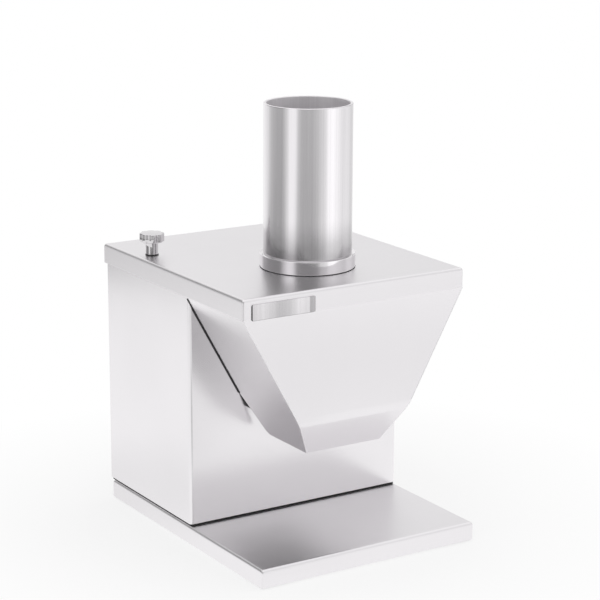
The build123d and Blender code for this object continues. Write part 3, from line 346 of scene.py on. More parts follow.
plated, given, result = new_group("plated_skin", {"Place": "Vector", "Tint": "Color", "Gloss Loss": "Float"})
bloom = noise(plated, given["Place"], scale=160.0, detail=4.0)
pits = place(plated, "TexVoronoi", {"Vector": given["Place"], "Scale": 900.0}).outputs["Distance"]
send_out(plated, result, given["Tint"], swing(plated, bloom, 0.30), swing(plated, pits, 0.08),
         number(plated, "ADD", given["Gloss Loss"], swing(plated, bloom, 0.20)), pits)
zinc = finished("zinc_plate", plated, {"Tint": (0.62, 0.64, 0.66, 1), "Gloss Loss": 0.34}, relief=0.00004)
dress(zinc, "foot_nuts", "foot_screws")

# Housing: one stainless sheet bent round the front and both sides, and closed by a rear panel. The grain
# runs level round the machine.
sheet_level = finished("satin_sheet_level", satin, {
    "Stretch": (6, 6, 2400), "Tint": sheet_tint, "Gloss Loss": 0.23, "Grain": 0.20}, relief=0.000003)
dress(sheet_level, "housing_shell", "rear_panel")

# Gasket: a flat ring cut from black rubber sheet, which the housing's screws squeeze between the housing
# and the tray.
gasket_rubber = finished("gasket_rubber", moulded, {
    "Tint": (0.022, 0.022, 0.023, 1), "Grain Size": 0.0005, "Gloss Loss": 0.82}, relief=0.00004, metallic=0.0)
dress(gasket_rubber, "housing_gasket")

# Screws and nuts: bought steel parts, stainless where they can be seen or are washed, and zinc-plated
# where they are out of sight.
stainless_screw = finished("stainless_screw", plated, {
    "Tint": (0.70, 0.70, 0.70, 1), "Gloss Loss": 0.24}, relief=0.00003)
dress(zinc, "base_screws", "hex_nuts")
dress(stainless_screw, "rear_panel_screws", "deck_screws", "bearing_screws", "inlet_screws")

# Motor: a squirrel-cage motor that stands upright, with a painted can between two cast end bells. Long
# screws hold it to the drive plate.
cast, given, result = new_group("cast_skin", {"Place": "Vector", "Tint": "Color", "Grit": "Float"})
grit = noise(cast, given["Place"], scale=700.0, detail=4.0, roughness=0.7)
lumps = place(cast, "TexVoronoi", {"Vector": given["Place"], "Scale": 420.0}).outputs["Distance"]
stain = noise(cast, given["Place"], scale=45.0, detail=4.0)
skin = number(cast, "ADD", number(cast, "MULTIPLY", lumps, 0.5), grit)
cast_loss = 0.46
send_out(cast, result, given["Tint"], swing(cast, stain, 0.26), swing(cast, grit, 0.20),
         number(cast, "ADD", cast_loss, swing(cast, stain, 0.22)),
         number(cast, "MULTIPLY", skin, given["Grit"]))
motor_paint = finished("motor_paint", cast, {"Tint": (0.16, 0.18, 0.20, 1), "Grit": 0.5}, relief=0.00006,
                       metallic=0.0)
cast_aluminium = finished("cast_aluminium", cast, {"Tint": (0.72, 0.73, 0.74, 1), "Grit": 1.0}, relief=0.0001)
dress(motor_paint, "motor_can")
dress(cast_aluminium, "motor_top_bell", "motor_bottom_bell")
dress(zinc, "motor_screws")


# Stator and rotor: packs of thin stamped steel sheets, pressed into the can and on the shaft, with the
# stator's windings of lacquered copper wire.
def from_axis(tree, split):
    """How far a place lies from the upright axis through the pattern's middle."""
    return number(tree, "SQRT", number(tree, "ADD", number(tree, "POWER", split["X"], 2.0),
                                       number(tree, "POWER", split["Y"], 2.0)))


def round_about(x, y):
    """Moves a pattern so that it runs round an upright axis at this place."""
    return lambda tree, where: place(tree, "VectorMath", {0: where, 1: (x, y, 0.0)},
                                     operation="SUBTRACT").outputs[0]


stamped, given, result = new_group("stamped_pack", {"Place": "Vector", "Tint": "Color", "Sheet": "Float"})
level_up = place(stamped, "SeparateXYZ", {"Vector": given["Place"]}).outputs["Z"]
layer = number(stamped, "DIVIDE", level_up, given["Sheet"])
each = place(stamped, "TexWhiteNoise", {"W": number(stamped, "FLOOR", layer)},
             noise_dimensions="1D").outputs["Value"]
oxide = noise(stamped, given["Place"], scale=90.0, detail=4.0)
stamped_loss = 0.46
send_out(stamped, result, given["Tint"], swing(stamped, each, 0.5), swing(stamped, oxide, 0.4),
         number(stamped, "ADD", stamped_loss, swing(stamped, oxide, 0.3)),
         number(stamped, "PINGPONG", layer, 0.5))
lamination = finished("lamination_pack", stamped, {"Tint": (0.30, 0.31, 0.33, 1), "Sheet": 0.0005},
                      relief=0.0002)
dress(lamination, "stator_core", "rotor_core")

wound, given, result = new_group("wound_wire", {"Place": "Vector", "Tint": "Color", "Wire": "Float"})
split = place(wound, "SeparateXYZ", {"Vector": given["Place"]}).outputs
stray = noise(wound, given["Place"], scale=70.0, detail=2.0)
along_wires = number(wound, "ADD", number(wound, "ADD", from_axis(wound, split), split["Z"]),
                     swing(wound, stray, 0.004))
strand = number(wound, "PINGPONG", number(wound, "DIVIDE", along_wires, given["Wire"]), 0.5)
lacquer = noise(wound, given["Place"], scale=240.0, detail=3.0)
# Painted highlight and shade: each wire's colour is lighter along its crest and darker in the grooves between
# wires.
wire_dark, wire_loss = 0.7, 0.34
send_out(wound, result, given["Tint"], number(wound, "MULTIPLY", strand, 0.8), swing(wound, lacquer, 0.4),
         number(wound, "ADD", wire_loss, swing(wound, lacquer, 0.2)), strand, base=wire_dark)
motor_middle = (0.0, 0.0745)
copper = finished("winding_copper", wound, {"Tint": (0.62, 0.28, 0.12, 1), "Wire": 0.0011}, relief=0.0003,
                  spots=round_about(*motor_middle))
dress(copper, "motor_windings")

# Shafts and bearings: the rotor's shaft and the knife's spindle, turned from steel bar and ground. Both run
# in ball bearings, the spindle's in a cast aluminium housing.
turned, given, result = new_group("turned_finish", {
    "Place": "Vector", "Tint": "Color", "Gloss Loss": "Float", "Cut": "Float"})
ring_scale = 2600.0
split = place(turned, "SeparateXYZ", {"Vector": given["Place"]}).outputs
ring_place = place(turned, "CombineXYZ", {
    "X": number(turned, "MULTIPLY", from_axis(turned, split), ring_scale),
    "Y": number(turned, "MULTIPLY", split["Z"], ring_scale)}).outputs[0]
rings = noise(turned, ring_place, scale=1.0, detail=3.0, roughness=0.6)
cloud = noise(turned, given["Place"], scale=90.0, detail=3.0)
loss = number(turned, "ADD", given["Gloss Loss"], swing(turned, rings, 0.10))
send_out(turned, result, given["Tint"], number(turned, "MULTIPLY", swing(turned, rings, 0.34), given["Cut"]),
         swing(turned, cloud, 0.08), number(turned, "ADD", loss, swing(turned, cloud, 0.05)),
         number(turned, "MULTIPLY", rings, given["Cut"]))
spindle_middle = (0.0, 0.0245)
ground_finish = {"Tint": (0.66, 0.66, 0.67, 1), "Gloss Loss": 0.20, "Cut": 0.7}
ground_shaft = finished("ground_shaft", turned, ground_finish, relief=0.00002,
                        spots=round_about(*motor_middle))
ground_spindle = finished("ground_spindle", turned, ground_finish, relief=0.00002,
                          spots=round_about(*spindle_middle))
bearing_race = finished("bearing_race", turned, {
    "Tint": (0.70, 0.70, 0.71, 1), "Gloss Loss": 0.14, "Cut": 0.5}, relief=0.00001,
    spots=round_about(*spindle_middle))
dress(ground_shaft, "rotor_shaft")
dress(ground_spindle, "spindle")
dress(bearing_race, "spindle_bearings", "motor_bearings")
dress(cast_aluminium, "bearing_housing")

# Belt drive: turned aluminium pulleys with a flat belt of black rubber, whose woven back shows fine ribs.
# The motor's stainless plate hangs from the deck on four zinc-plated pillars.
pulley_finish = {"Tint": (0.72, 0.73, 0.74, 1), "Gloss Loss": 0.26, "Cut": 1.4}
pulley_cut = finished("turned_aluminium", turned, pulley_finish, relief=0.00004,
                      spots=round_about(*spindle_middle))
motor_pulley_cut = finished("turned_aluminium_small", turned, pulley_finish, relief=0.00004,
                            spots=round_about(*motor_middle))
belt_back = finished("belt_back", stamped, {"Tint": (0.05, 0.05, 0.052, 1), "Sheet": 0.0008},
                     relief=0.0002, metallic=0.0)
sheet_inside = finished("pickled_sheet", satin, {
    "Stretch": (260, 30, 260), "Tint": (0.70, 0.69, 0.70, 1), "Gloss Loss": 0.34, "Grain": 0.30},
    relief=0.00002)
dress(pulley_cut, "spindle_pulley")
dress(motor_pulley_cut, "motor_pulley")
dress(belt_back, "drive_belt")
dress(sheet_inside, "drive_plate")
dress(zinc, "drive_pillars")

# Fan: moulded in black nylon and pressed on the foot of the rotor's shaft, where it blows air up over the
# motor.
black_moulding = finished("black_moulding", moulded, {
    "Tint": (0.028, 0.028, 0.029, 1), "Grain Size": 0.0006, "Gloss Loss": 0.46}, relief=0.00005, metallic=0.0)
dress(black_moulding, "cooling_fan")

# Run capacitor: a white moulded can beside the motor, held in a sprung clip of zinc-plated steel whose foot
# stands on the tray.
white_moulding = finished("white_moulding", moulded, {
    "Tint": (0.80, 0.79, 0.75, 1), "Grain Size": 0.0005, "Gloss Loss": 0.40}, relief=0.00004, metallic=0.0)
dress(white_moulding, "run_capacitor")
dress(zinc, "capacitor_clip")


# Terminal block: a moulded strip with two rows of four clamp screws, where mains, switch and motor meet.
# The screws are zinc-plated, each with a slot left at its own angle.
def grown(tree, base, name, inputs):
    """Runs a geometry tree on a base mesh and gives back a plain mesh object."""
    source = bpy.data.objects.new(name, base)
    bpy.context.collection.objects.link(source)
    modifier = source.modifiers.new("growth", "NODES")
    modifier.node_group = tree
    for item in tree.interface.items_tree:
        if item.item_type == "SOCKET" and item.in_out == "INPUT" and item.name in inputs:
            modifier[item.identifier] = inputs[item.name]
    evaluated = source.evaluated_get(bpy.context.evaluated_depsgraph_get())
    plain = bpy.data.meshes.new_from_object(evaluated)
    source.modifiers.clear()
    source.data = plain
    return source


def geometry_tree(name, inputs):
    """Empty geometry tree with a geometry in and out and its named inputs."""
    tree = bpy.data.node_groups.new(name, "GeometryNodeTree")
    tree.interface.new_socket(name="Geometry", in_out="INPUT", socket_type="NodeSocketGeometry")
    for socket, kind in inputs.items():
        tree.interface.new_socket(name=socket, in_out="INPUT", socket_type="NodeSocket" + kind)
    tree.interface.new_socket(name="Geometry", in_out="OUTPUT", socket_type="NodeSocketGeometry")
    return tree, tree.nodes.new("NodeGroupInput").outputs, tree.nodes.new("NodeGroupOutput").inputs


def end_tree(tree, geometry, given, result):
    """Ends a geometry tree with real copies in their material."""
    real = make(tree, "GeometryNodeRealizeInstances", {"Geometry": geometry})
    metal = make(tree, "GeometryNodeSetMaterial", {"Geometry": real.outputs[0], "Material": given["Metal"]})
    tree.links.new(metal.outputs[0], result["Geometry"])


def slab_faces(count, first=0, flipped=False, closed=True):
    """Faces of a slab from a front outline, the same outline behind it, and the walls between them."""
    faces = [tuple(range(first, first + count))]
    if closed:
        faces.append(tuple(range(first + 2 * count - 1, first + count - 1, -1)))
    for i in range(count):
        after = (i + 1) % count
        faces.append((first + i, first + i + count, first + after + count, first + after))
    return [face[::-1] for face in faces] if flipped else faces


block_middle = (-0.068, 0.025, 0.0316)
clamp_columns, clamp_rows = 2, 4
clamp_width, clamp_length = 0.010, 0.011
clamp_radius, clamp_foot = 0.0021, -0.0018
slot_opening, slot_swing = 0.19, 1.4
arc_steps = 14
spots, faces = [], []
for side in (1, -1):
    arc = [slot_opening + (pi - 2 * slot_opening) * i / arc_steps for i in range(arc_steps + 1)]
    half_head = [(clamp_radius * cos(a), side * clamp_radius * sin(a)) for a in arc]
    faces += slab_faces(len(half_head), len(spots), side < 0, closed=False)
    spots += [(x, y, height) for height in (0.0, clamp_foot) for x, y in half_head]
clamp_head = built("clamp_head", spots, faces)
clamp_tree, given, result = geometry_tree("clamp_screws", {
    "Head": "Object", "Width": "Float", "Length": "Float", "Rows": "Int", "Columns": "Int", "Place": "Vector",
    "Metal": "Material"})
grid = make(clamp_tree, "GeometryNodeMeshGrid", {"Size X": given["Width"], "Size Y": given["Length"],
                                                 "Vertices X": given["Columns"], "Vertices Y": given["Rows"]})
moved = make(clamp_tree, "GeometryNodeTransform", {"Geometry": grid.outputs["Mesh"],
                                                   "Translation": given["Place"]})
head_info = make(clamp_tree, "GeometryNodeObjectInfo", {"Object": given["Head"]})
slot_turn = make(clamp_tree, "FunctionNodeRandomValue", {
    "Min": (0, 0, -slot_swing), "Max": (0, 0, slot_swing), "Seed": 7}, data_type="FLOAT_VECTOR")
dotted = make(clamp_tree, "GeometryNodeInstanceOnPoints", {"Points": moved.outputs[0],
                                                           "Instance": head_info.outputs["Geometry"],
                                                           "Rotation": slot_turn.outputs["Value"]})
end_tree(clamp_tree, dotted.outputs[0], given, result)
clamp_screws = grown(clamp_tree, bpy.data.meshes.new("clamp_base"), "terminal_clamp_screws", {
    "Head": clamp_head, "Width": clamp_width * (clamp_columns - 1), "Length": clamp_length * (clamp_rows - 1),
    "Rows": clamp_rows, "Columns": clamp_columns, "Place": block_middle, "Metal": zinc})
bpy.data.objects.remove(clamp_head)
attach(clamp_screws, "housing")
dress(white_moulding, "terminal_block")

# Leads: stranded copper wire in black insulation, pushed under the block's clamps. They run there from the
# inlet, the switch and the motor.
lead_skin = finished("lead_skin", moulded, {
    "Tint": (0.10, 0.10, 0.11, 1), "Grain Size": 0.0012, "Gloss Loss": 0.50}, relief=0.00003, metallic=0.0)
dress(lead_skin, "wiring_leads")

# Power inlet: a moulded black socket with a flange, screwed to the rear panel. Its three flat pins are
# plated brass.
pin_low = (0.0514, 0.1066, 0.0415)
pin_high = (0.0686, 0.1180, 0.0545)
pin_tint, pin_gloss = (0.72, 0.66, 0.52, 1), 0.2
inlet_moulding, tree = new_material("inlet_moulding")
where = place(tree, "TexCoord", {}).outputs["Object"]
finish = place(tree, "Group", {"Place": where, "Tint": (0.035, 0.035, 0.036, 1), "Grain Size": 0.0006,
                               "Gloss Loss": 0.45}, node_tree=moulded).outputs
split = place(tree, "SeparateXYZ", {"Vector": where}).outputs
is_pin = 1.0
for axis, low, high in zip("XYZ", pin_low, pin_high):
    within = number(tree, "COMPARE", split[axis], (low + high) / 2, (high - low) / 2)
    is_pin = number(tree, "MULTIPLY", is_pin, within)
# Sockets 6 and 7 of a Mix node are its two colours, and output 2 is the mixed one.
pin_mix = place(tree, "Mix", {"Factor": is_pin, 6: finish["Colour"], 7: pin_tint}, data_type="RGBA")
coat(tree, finish, relief=0.00005, metallic=is_pin, colour=pin_mix.outputs[2],
     roughness=number(tree, "MULTIPLY_ADD", is_pin, -pin_gloss, finish["Roughness"]), strength=0.5)
dress(inlet_moulding, "power_inlet")

# Switch: a black bezel with a green start and a red stop button in the right wall, on its contact block.
# A raised bar and a raised ring are printed white on the two buttons.
button_skin = {"Grain Size": 0.0005, "Gloss Loss": 0.34}
green_moulding = finished("green_moulding", moulded, {
    "Tint": (0.04, 0.36, 0.10, 1), **button_skin}, relief=0.00004, metallic=0.0)
red_moulding = finished("red_moulding", moulded, {
    "Tint": (0.56, 0.03, 0.025, 1), **button_skin}, relief=0.00004, metallic=0.0)
dress(black_moulding, "switch_bezel", "switch_block")
dress(green_moulding, "start_button")
dress(red_moulding, "stop_button")


def spun(name, profile, middle, axis, steps, material):
    """Turns a closed profile of (radius, height) round an axis through a place."""
    count = len(profile)
    upward = Vector((0, 0, 1)).rotation_difference(Vector(axis)).to_matrix()
    spots = [upward @ Vector((r * cos(2 * pi * s / steps), r * sin(2 * pi * s / steps), h)) + Vector(middle)
             for s in range(steps) for r, h in profile]
    quads = [(s * count + i, (s + 1) % steps * count + i, (s + 1) % steps * count + (i + 1) % count,
              s * count + (i + 1) % count) for s in range(steps) for i in range(count)]
    piece = built(name, spots, quads, material)
    piece.data.shade_smooth()
    piece.data.set_sharp_from_angle(angle=radians(32))
    return piece


button_face, button_y = 0.1005, 0.060
start_z, stop_z = 0.171, 0.149
mark_height, mark_sink, mark_edge = 0.00018, 0.0001, 0.0001
bar_half, bar_radius = 0.0030, 0.0007
ring_inner, ring_outer = 0.0025, 0.0038
white_print = finished("white_print", moulded, {
    "Tint": (0.82, 0.82, 0.80, 1), "Grain Size": 0.0004, "Gloss Loss": 0.5}, relief=0.00002, metallic=0.0)
bar_outline = [(bar_radius * cos(a), bar_half + bar_radius * sin(a)) for a in (pi * i / 8 for i in range(9))]
bar_outline += [(-y, -z) for y, z in bar_outline]
start_mark = built("start_mark", [(button_face + out, button_y + y, start_z + z)
                                  for out in (mark_height, -mark_sink) for y, z in bar_outline],
                   slab_faces(len(bar_outline)), white_print)
ring_shoulder = mark_height * 0.6
stop_mark = spun("stop_mark", [
    (ring_inner, -mark_sink), (ring_outer, -mark_sink), (ring_outer, ring_shoulder),
    (ring_outer - mark_edge, mark_height), (ring_inner + mark_edge, mark_height), (ring_inner, ring_shoulder),
], (button_face, button_y, stop_z), (1, 0, 0), 64, white_print)
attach(start_mark, "start_push")
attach(stop_mark, "stop_push")

# Deck: a laser-cut plate with a tongue under the tube, on folded ledges inside the housing, sealed round
# the spindle by a rubber lip ring.
dress(sheet_inside, "deck_plate", "deck_ledges")
dress(black_rubber, "spindle_seal")

# Knife: a curved stainless blade, ground along its edge, clamped on a polished steel hub by one slotted
# screw.
knife_steel = finished("knife_steel", satin, {
    "Stretch": (40, 700, 700), "Tint": (0.74, 0.735, 0.75, 1), "Gloss Loss": 0.20, "Grain": 0.7},
    relief=0.00002)
polished_hub = finished("turned_hub", turned, {
    "Tint": (0.82, 0.81, 0.82, 1), "Gloss Loss": 0.14, "Cut": 0.8}, relief=0.00002,
    spots=round_about(*spindle_middle))
dress(knife_steel, "knife_blade")
dress(polished_hub, "knife_hub", "knife_screw")

# Cover switch: a sensor potted in black nylon on the deck and a magnet under the lid, which stop the motor
# when the cover is lifted.
dress(black_moulding, "cover_sensor", "cover_magnet")

# Cover posts: two turned stainless posts that are riveted into the deck and carry the lid. Each is bored
# from its top for a thumb screw.
post_place = Vector((0.087, 0.0665))


def round_each_post(tree, where):
    """Runs a pattern round whichever of the two posts is nearer."""
    split = place(tree, "SeparateXYZ", {"Vector": where}).outputs
    across = number(tree, "SUBTRACT", number(tree, "ABSOLUTE", split["X"]), post_place.x)
    along = number(tree, "SUBTRACT", split["Y"], post_place.y)
    return place(tree, "CombineXYZ", {"X": across, "Y": along, "Z": split["Z"]}).outputs[0]


post_steel = finished("turned_post", turned, {
    "Tint": (0.82, 0.81, 0.82, 1), "Gloss Loss": 0.16, "Cut": 0.8}, relief=0.00002,
    spots=round_each_post)
dress(post_steel, "cover_posts")

# Lid: a pan folded from the same sheet as the tray, welded at its corners and turned down over the
# housing. Its grain runs from side to side too.
sheet_lid = finished("satin_sheet_lid", satin, {
    "Stretch": (6, 2400, 2400), "Side Stretch": (2400, 6, 2400), "Tint": sheet_tint, "Gloss Loss": 0.34,
    "Grain": 0.20}, relief=0.000003)
dress(sheet_lid, "lid_plate")


# Chute: a front sheet and two slanting sides of the same steel, ground downwards and welded to the lid.
# A dressed weld bead rounds the two corners between the sheets.
def both_sides(name, line, inset=0.0):
    """Base mesh of a line at the right side and its mirror image at the left, moved in by an inset."""
    mesh = bpy.data.meshes.new(name)
    count = len(line)
    mesh.from_pydata([(side * (x - inset), y + inset, z) for side in (-1, 1) for x, y, z in line],
                     [(start + i, start + i + 1) for start in (0, count) for i in range(count - 1)], [])
    return mesh


sheet_down = finished("satin_sheet_down", satin, {
    "Stretch": (2400, 2400, 6), "Tint": sheet_tint, "Gloss Loss": 0.25, "Grain": 0.16}, relief=0.000003)
dress(sheet_down, "chute_front", "chute_left", "chute_right")
bead_radius, bead_inset, bead_ripple, bead_spacing = 0.0005, 0.00042, 0.00005, 0.0012
bead_sides = 12
corner_line = ((0.1006, -0.1005, 0.2040), (0.05391, -0.1005, 0.12074), (0.05212, -0.1002, 0.11754),
               (0.05039, -0.0993, 0.11446), (0.04943, -0.09851, 0.11276), (0.03480, -0.08465, 0.08670))
bead_tree, given, result = geometry_tree("weld_bead", {
    "Radius": "Float", "Sides": "Int", "Spacing": "Float", "Ripple": "Float", "Metal": "Material"})
line = make(bead_tree, "GeometryNodeMeshToCurve", {"Mesh": given["Geometry"]})
spaced = make(bead_tree, "GeometryNodeResampleCurve", {"Curve": line.outputs[0], "Length": given["Spacing"]},
              mode="LENGTH")
wander = place(bead_tree, "TexNoise", {"Scale": 900.0, "Detail": 1.0}).outputs[0]
thick = number(bead_tree, "ADD", given["Radius"], number(bead_tree, "MULTIPLY", wander, given["Ripple"]))
ring = make(bead_tree, "GeometryNodeCurvePrimitiveCircle", {"Resolution": given["Sides"], "Radius": 1.0})
bead = make(bead_tree, "GeometryNodeCurveToMesh", {
    "Curve": spaced.outputs[0], "Profile Curve": ring.outputs[0], "Scale": thick, "Fill Caps": True})
smooth = make(bead_tree, "GeometryNodeSetShadeSmooth", {"Geometry": bead.outputs[0]})
end_tree(bead_tree, smooth.outputs[0], given, result)
weld_steel = finished("dressed_weld", plated, {"Tint": (0.88, 0.865, 0.88, 1), "Gloss Loss": 0.36},
                      relief=0.00002)
chute_welds = grown(bead_tree, both_sides("corner_lines", corner_line, bead_inset), "chute_corner_welds", {
    "Radius": bead_radius, "Sides": bead_sides, "Spacing": bead_spacing, "Ripple": bead_ripple,
    "Metal": weld_steel})
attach(chute_welds, "cover")

# Chute seals: a round cord of black rubber bonded along each rear edge of the chute, where the sides meet the
# housing. At its end a small dark flap stands as painted shadow in the corner where the edge leaves the
# housing.
seal_radius, seal_spacing = 0.00055, 0.0015
seal_line = ((0.10068, -0.01558, 0.20379), (0.05450, -0.01558, 0.12150), (0.05400, -0.01558, 0.12060))
flap_corners = ((0.0544, -0.01505, 0.1219), (0.0462, -0.0206, 0.1071), (0.0462, -0.01505, 0.1071))
flap_slant = Vector((0.872, 0.0, 0.490))
flap_thick, flap_sink = 0.0008, 0.0003
chute_seals = grown(bead_tree, both_sides("seal_lines", seal_line), "chute_edge_seals", {
    "Radius": seal_radius, "Sides": bead_sides, "Spacing": seal_spacing, "Ripple": 0.0,
    "Metal": gasket_rubber})
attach(chute_seals, "cover")
# Painted shadow: dark flaps fill the corner behind the chute's lower edge, where there is only shade.
spots, faces = [], []
for side in (-1, 1):
    outward = Vector((side * flap_slant.x, 0, -flap_slant.z))
    faces += slab_faces(len(flap_corners), len(spots), side < 0)
    spots += [Vector((side * x, y, z)) - outward * depth
              for depth in (flap_sink, flap_sink + flap_thick) for x, y, z in flap_corners]
chute_flaps = built("chute_seal_flaps", spots, faces, gasket_rubber)
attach(chute_flaps, "cover")

# Feed tube: drawn stainless tube, polished lengthwise outside, so that long streaks run from rim to lid.
# Its bore is left dull. Just above the collar, painted shade darkens the tube's colour in patches.
tube_middle = (0.0, -0.0305)
bore_radius, bore_dull, bore_grey = 0.0342, 0.30, 0.35
foot_height, clear_height, foot_dark = 0.232, 0.266, 0.42
tube_finish, tree = new_material("drawn_tube")
where = place(tree, "TexCoord", {}).outputs["Object"]
finish = place(tree, "Group", {"Place": where, "Stretch": (1100, 1100, 4), "Side Stretch": (1100, 1100, 4),
                               "Tint": (0.82, 0.80, 0.82, 1), "Gloss Loss": 0.16, "Grain": 0.9},
               node_tree=satin).outputs
split = place(tree, "SeparateXYZ", {"Vector": round_about(*tube_middle)(tree, where)}).outputs
in_bore = number(tree, "LESS_THAN", from_axis(tree, split), bore_radius)
# Painted shade: the colour is darkened in patches just above the collar.
near_foot = faded(tree, split["Z"], clear_height, foot_height)
patches = noise(tree, where, scale=45.0, detail=2.0)
missed = number(tree, "MULTIPLY", near_foot, number(tree, "ADD", swing(tree, patches, 0.8), 1.0))
foot_tone = number(tree, "MULTIPLY_ADD", missed, -foot_dark, 1.0)
coat(tree, finish, relief=0.00001, metallic=number(tree, "MULTIPLY_ADD", in_bore, -bore_grey, 1.0),
     colour=scaled(tree, finish["Colour"], foot_tone),
     roughness=number(tree, "MULTIPLY_ADD", in_bore, bore_dull, finish["Roughness"]))
dress(tube_finish, "feed_tube")

# Collar: a stainless ring, turned, polished and welded round the tube's foot. Its thin upper rim is
# rounded, its top is hollowed towards the tube, and a rubber ring fills the fine groove at its foot.
collar_inner, collar_outer = 0.0350, 0.0378
collar_foot, collar_top = 0.2211, 0.2321
rim_round, rim_flat = 0.0003, 0.0003
hollow_inner, hollow_outer, hollow_width = 0.0009, 0.0011, 0.0003
groove_in, groove_high = 0.0006, 0.0004
chamfer_in, chamfer_high, wall_start, wall_steady = 0.0001, 0.0006, 0.0009, 0.0012
ring_steps = 160
rim_middle = (collar_outer - rim_round, collar_top - rim_round)
profile = [(collar_inner, collar_foot), (collar_outer - groove_in, collar_foot),
           (collar_outer - groove_in, collar_foot + groove_high),
           (collar_outer - chamfer_in, collar_foot + chamfer_high),
           (collar_outer, collar_foot + wall_start), (collar_outer, collar_foot + wall_steady),
           (collar_outer, rim_middle[1] - rim_flat)]
profile += [(rim_middle[0] + rim_round * cos(a), rim_middle[1] + rim_round * sin(a))
            for a in (pi / 2 * i / 8 for i in range(9))]
profile += [(collar_inner + hollow_width, collar_top - hollow_outer),
            (collar_inner, collar_top - hollow_inner)]
collar_steel = finished("polished_collar", turned, {
    "Tint": (0.83, 0.81, 0.83, 1), "Gloss Loss": 0.08, "Cut": 0.5}, relief=0.00001,
    spots=round_about(*tube_middle))
collar = spun("polished_collar", profile, (*tube_middle, 0.0), (0, 0, 1), ring_steps, collar_steel)
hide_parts("tube_collar")
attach(collar, "cover")
seal_middle, seal_wide, seal_high = (collar_outer - 0.0005, collar_foot + 0.0003), 0.0006, 0.00042
seal_profile = [(seal_middle[0] + seal_wide * cos(a), seal_middle[1] + seal_high * sin(a))
                for a in (2 * pi * i / 12 for i in range(12))]
collar_seal = spun("collar_foot_seal", seal_profile, (*tube_middle, 0.0), (0, 0, 1), ring_steps,
                   gasket_rubber)
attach(collar_seal, "cover")

# Name plate: a thin bare steel plate, ground upright, whose colour carries soft light and dark bands of
# painted reflection from side to side. A dark tape, set a little askew, bonds it to the front just under the
# lid.
plate_low, plate_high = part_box("name_plate")
plate_bands = ((0.0, 0.95), (0.16, 1.12), (0.42, 0.80), (0.58, 0.86), (0.74, 1.14), (0.90, 1.06),
               (0.915, 0.66), (1.0, 0.70))
plate_steel, tree = new_material("name_plate_steel")
where = place(tree, "TexCoord", {}).outputs["Object"]
finish = place(tree, "Group", {"Place": where, "Stretch": (500, 500, 6), "Side Stretch": (500, 500, 6),
                               "Tint": (0.66, 0.645, 0.66, 1), "Gloss Loss": 0.16, "Grain": 0.6},
               node_tree=satin).outputs
across = place(tree, "SeparateXYZ", {"Vector": where}).outputs["X"]
# Painted reflection: the plate's colour is lightened and darkened in bands from side to side.
band_level = banded(tree, faded(tree, across, plate_low[0], plate_high[0], easing="LINEAR"), plate_bands)
coat(tree, finish, relief=0.00001, colour=scaled(tree, finish["Colour"], band_level))
dress(plate_steel, "name_plate")
tape_shift, tape_drop, tape_round = 0.0005, 0.0003, 0.0012
tape_rear, tape_front = 0.00002, 0.0003
tape_left, tape_right = plate_low[0] - tape_shift, plate_high[0] - tape_shift
tape_foot, tape_head = plate_low[2] - tape_drop, plate_high[2] - tape_drop
tape_outline = []
for quarter, (x, z) in enumerate(((tape_right - tape_round, tape_head - tape_round),
                                  (tape_left + tape_round, tape_head - tape_round),
                                  (tape_left + tape_round, tape_foot + tape_round),
                                  (tape_right - tape_round, tape_foot + tape_round))):
    for a in (pi / 2 * (quarter + i / 6) for i in range(7)):
        tape_outline.append((x + tape_round * cos(a), z + tape_round * sin(a)))
tape = built("name_plate_tape", [(x, plate_high[1] - out, z) for out in (tape_rear, tape_front)
                                 for x, z in tape_outline],
             slab_faces(len(tape_outline), flipped=True), gasket_rubber)
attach(tape, "cover")

# Thumb screws: turned from stainless bar. Each has a high head with eight scallops for the fingers, a
# plain stem that presses on a nylon washer, and a one millimetre thread below it.
washer_nylon = finished("washer_nylon", moulded, {
    "Tint": (0.03, 0.03, 0.03, 1), "Grain Size": 0.0005, "Gloss Loss": 0.35}, relief=0.00003, metallic=0.0)
dress(washer_nylon, "thumb_washer_left", "thumb_washer_right")
screw_steel = finished("polished_screw", turned, {
    "Tint": (0.68, 0.665, 0.68, 1), "Gloss Loss": 0.06, "Cut": 0.6}, relief=0.00001,
    spots=round_each_post)
head_reach, head_foot, head_top = 0.0100, 0.2321, 0.2393
head_edge, head_crown, edge_steps = 0.0009, 0.0003, 5
scallops, scallop_radius, scallop_depth = 8, 0.0034, 0.0010
stem_reach, stem_foot, stem_edge, stem_flare = 0.0050, 0.2218, 0.0003, 0.0005
neck_reach, neck_high = 0.0026, 0.0001
thread_reach, thread_depth, thread_pitch, thread_foot = 0.0030, 0.00055, 0.0010, 0.2116
thread_start, thread_clear, rows_a_turn = 0.0008, 0.0012, 8
tip_reach, tip_wide, tip_high = 0.0018, 0.0025, 0.0006
around = 128


def plain(reach):
    """The same reach all round."""
    return lambda angle: reach


def threaded(lift):
    """Reach of the thread at this height above the screw's foot."""
    return lambda angle: thread_reach - thread_depth * abs(
        2 * ((lift / thread_pitch - angle / (2 * pi)) % 1.0) - 1)


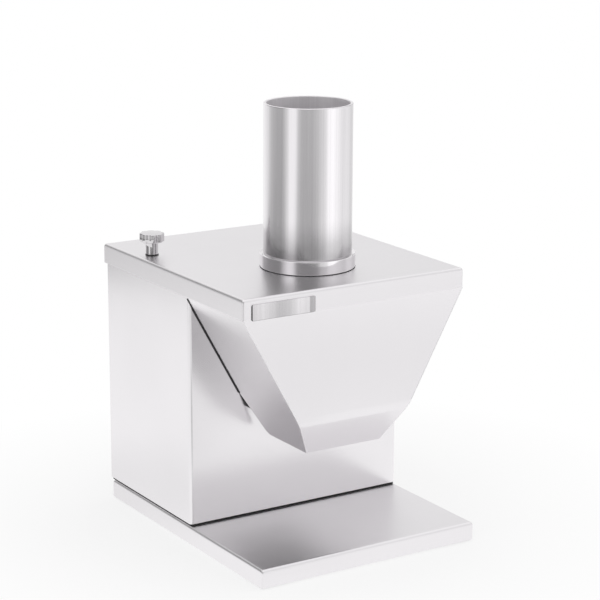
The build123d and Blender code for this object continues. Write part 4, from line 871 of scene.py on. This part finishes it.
def scalloped(inset, share=1.0):
    """Reach of the scalloped head less an inset, times a share."""
    scallop_middle = head_reach + scallop_radius - scallop_depth

    def reach_at(angle):
        off = (angle + pi / scallops) % (2 * pi / scallops) - pi / scallops
        aside = scallop_middle * sin(off)
        reach = head_reach
        if abs(aside) < scallop_radius:
            reach = min(reach, scallop_middle * cos(off) - (scallop_radius ** 2 - aside ** 2) ** 0.5)
        return (reach - inset) * share
    return reach_at


rows = [(thread_foot, plain(tip_reach)), (thread_foot + tip_high, plain(tip_wide))]
for step in range(int((stem_foot - thread_foot - thread_clear) / thread_pitch * rows_a_turn)):
    lift = thread_start + step * thread_pitch / rows_a_turn
    rows.append((thread_foot + lift, threaded(lift)))
rows += [(stem_foot - neck_high, plain(neck_reach)), (stem_foot, plain(neck_reach)),
         (stem_foot, plain(stem_reach - stem_edge)), (stem_foot + stem_edge, plain(stem_reach))]
rows += [(stem_foot + (head_foot - stem_foot) * share, plain(stem_reach)) for share in (0.3, 0.6, 0.92)]
rows += [(head_foot - stem_edge, plain(stem_reach + neck_high)), (head_foot, plain(stem_reach + stem_flare))]
sweep = [pi / 2 * i / edge_steps for i in range(edge_steps + 1)]
rows += [(head_foot + head_edge * (1 - cos(a)), scalloped(head_edge * (1 - sin(a)))) for a in sweep]
rows += [(head_top - head_edge * (1 - sin(a)), scalloped(head_edge * (1 - cos(a)))) for a in sweep]
rows += [(head_top + head_crown * (1 - share ** 2), scalloped(head_edge, share))
         for share in (0.85, 0.6, 0.3)]
for side, body, node in ((-1, "left_screw", "thumb_screw_left"), (1, "right_screw", "thumb_screw_right")):
    middle = side * post_place.x
    spots = [(middle + side * reach_at(2 * pi * s / around) * cos(2 * pi * s / around),
              post_place.y + side * reach_at(2 * pi * s / around) * sin(2 * pi * s / around), height)
             for height, reach_at in rows for s in range(around)]
    foot_spot, top_spot, last = len(spots), len(spots) + 1, len(spots) - around
    spots += [(middle, post_place.y, thread_foot), (middle, post_place.y, head_top + head_crown)]
    steps = [(s, (s + 1) % around) for s in range(around)]
    quads = [(r + s, r + after, r + around + after, r + around + s)
             for r in range(0, last, around) for s, after in steps]
    quads += [(foot_spot, after, s) for s, after in steps]
    quads += [(top_spot, last + s, last + after) for s, after in steps]
    screw = built("scalloped_" + body, spots, quads, screw_steel)
    screw.data.shade_smooth()
    screw.data.set_sharp_from_angle(angle=radians(40))
    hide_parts(node)
    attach(screw, body)
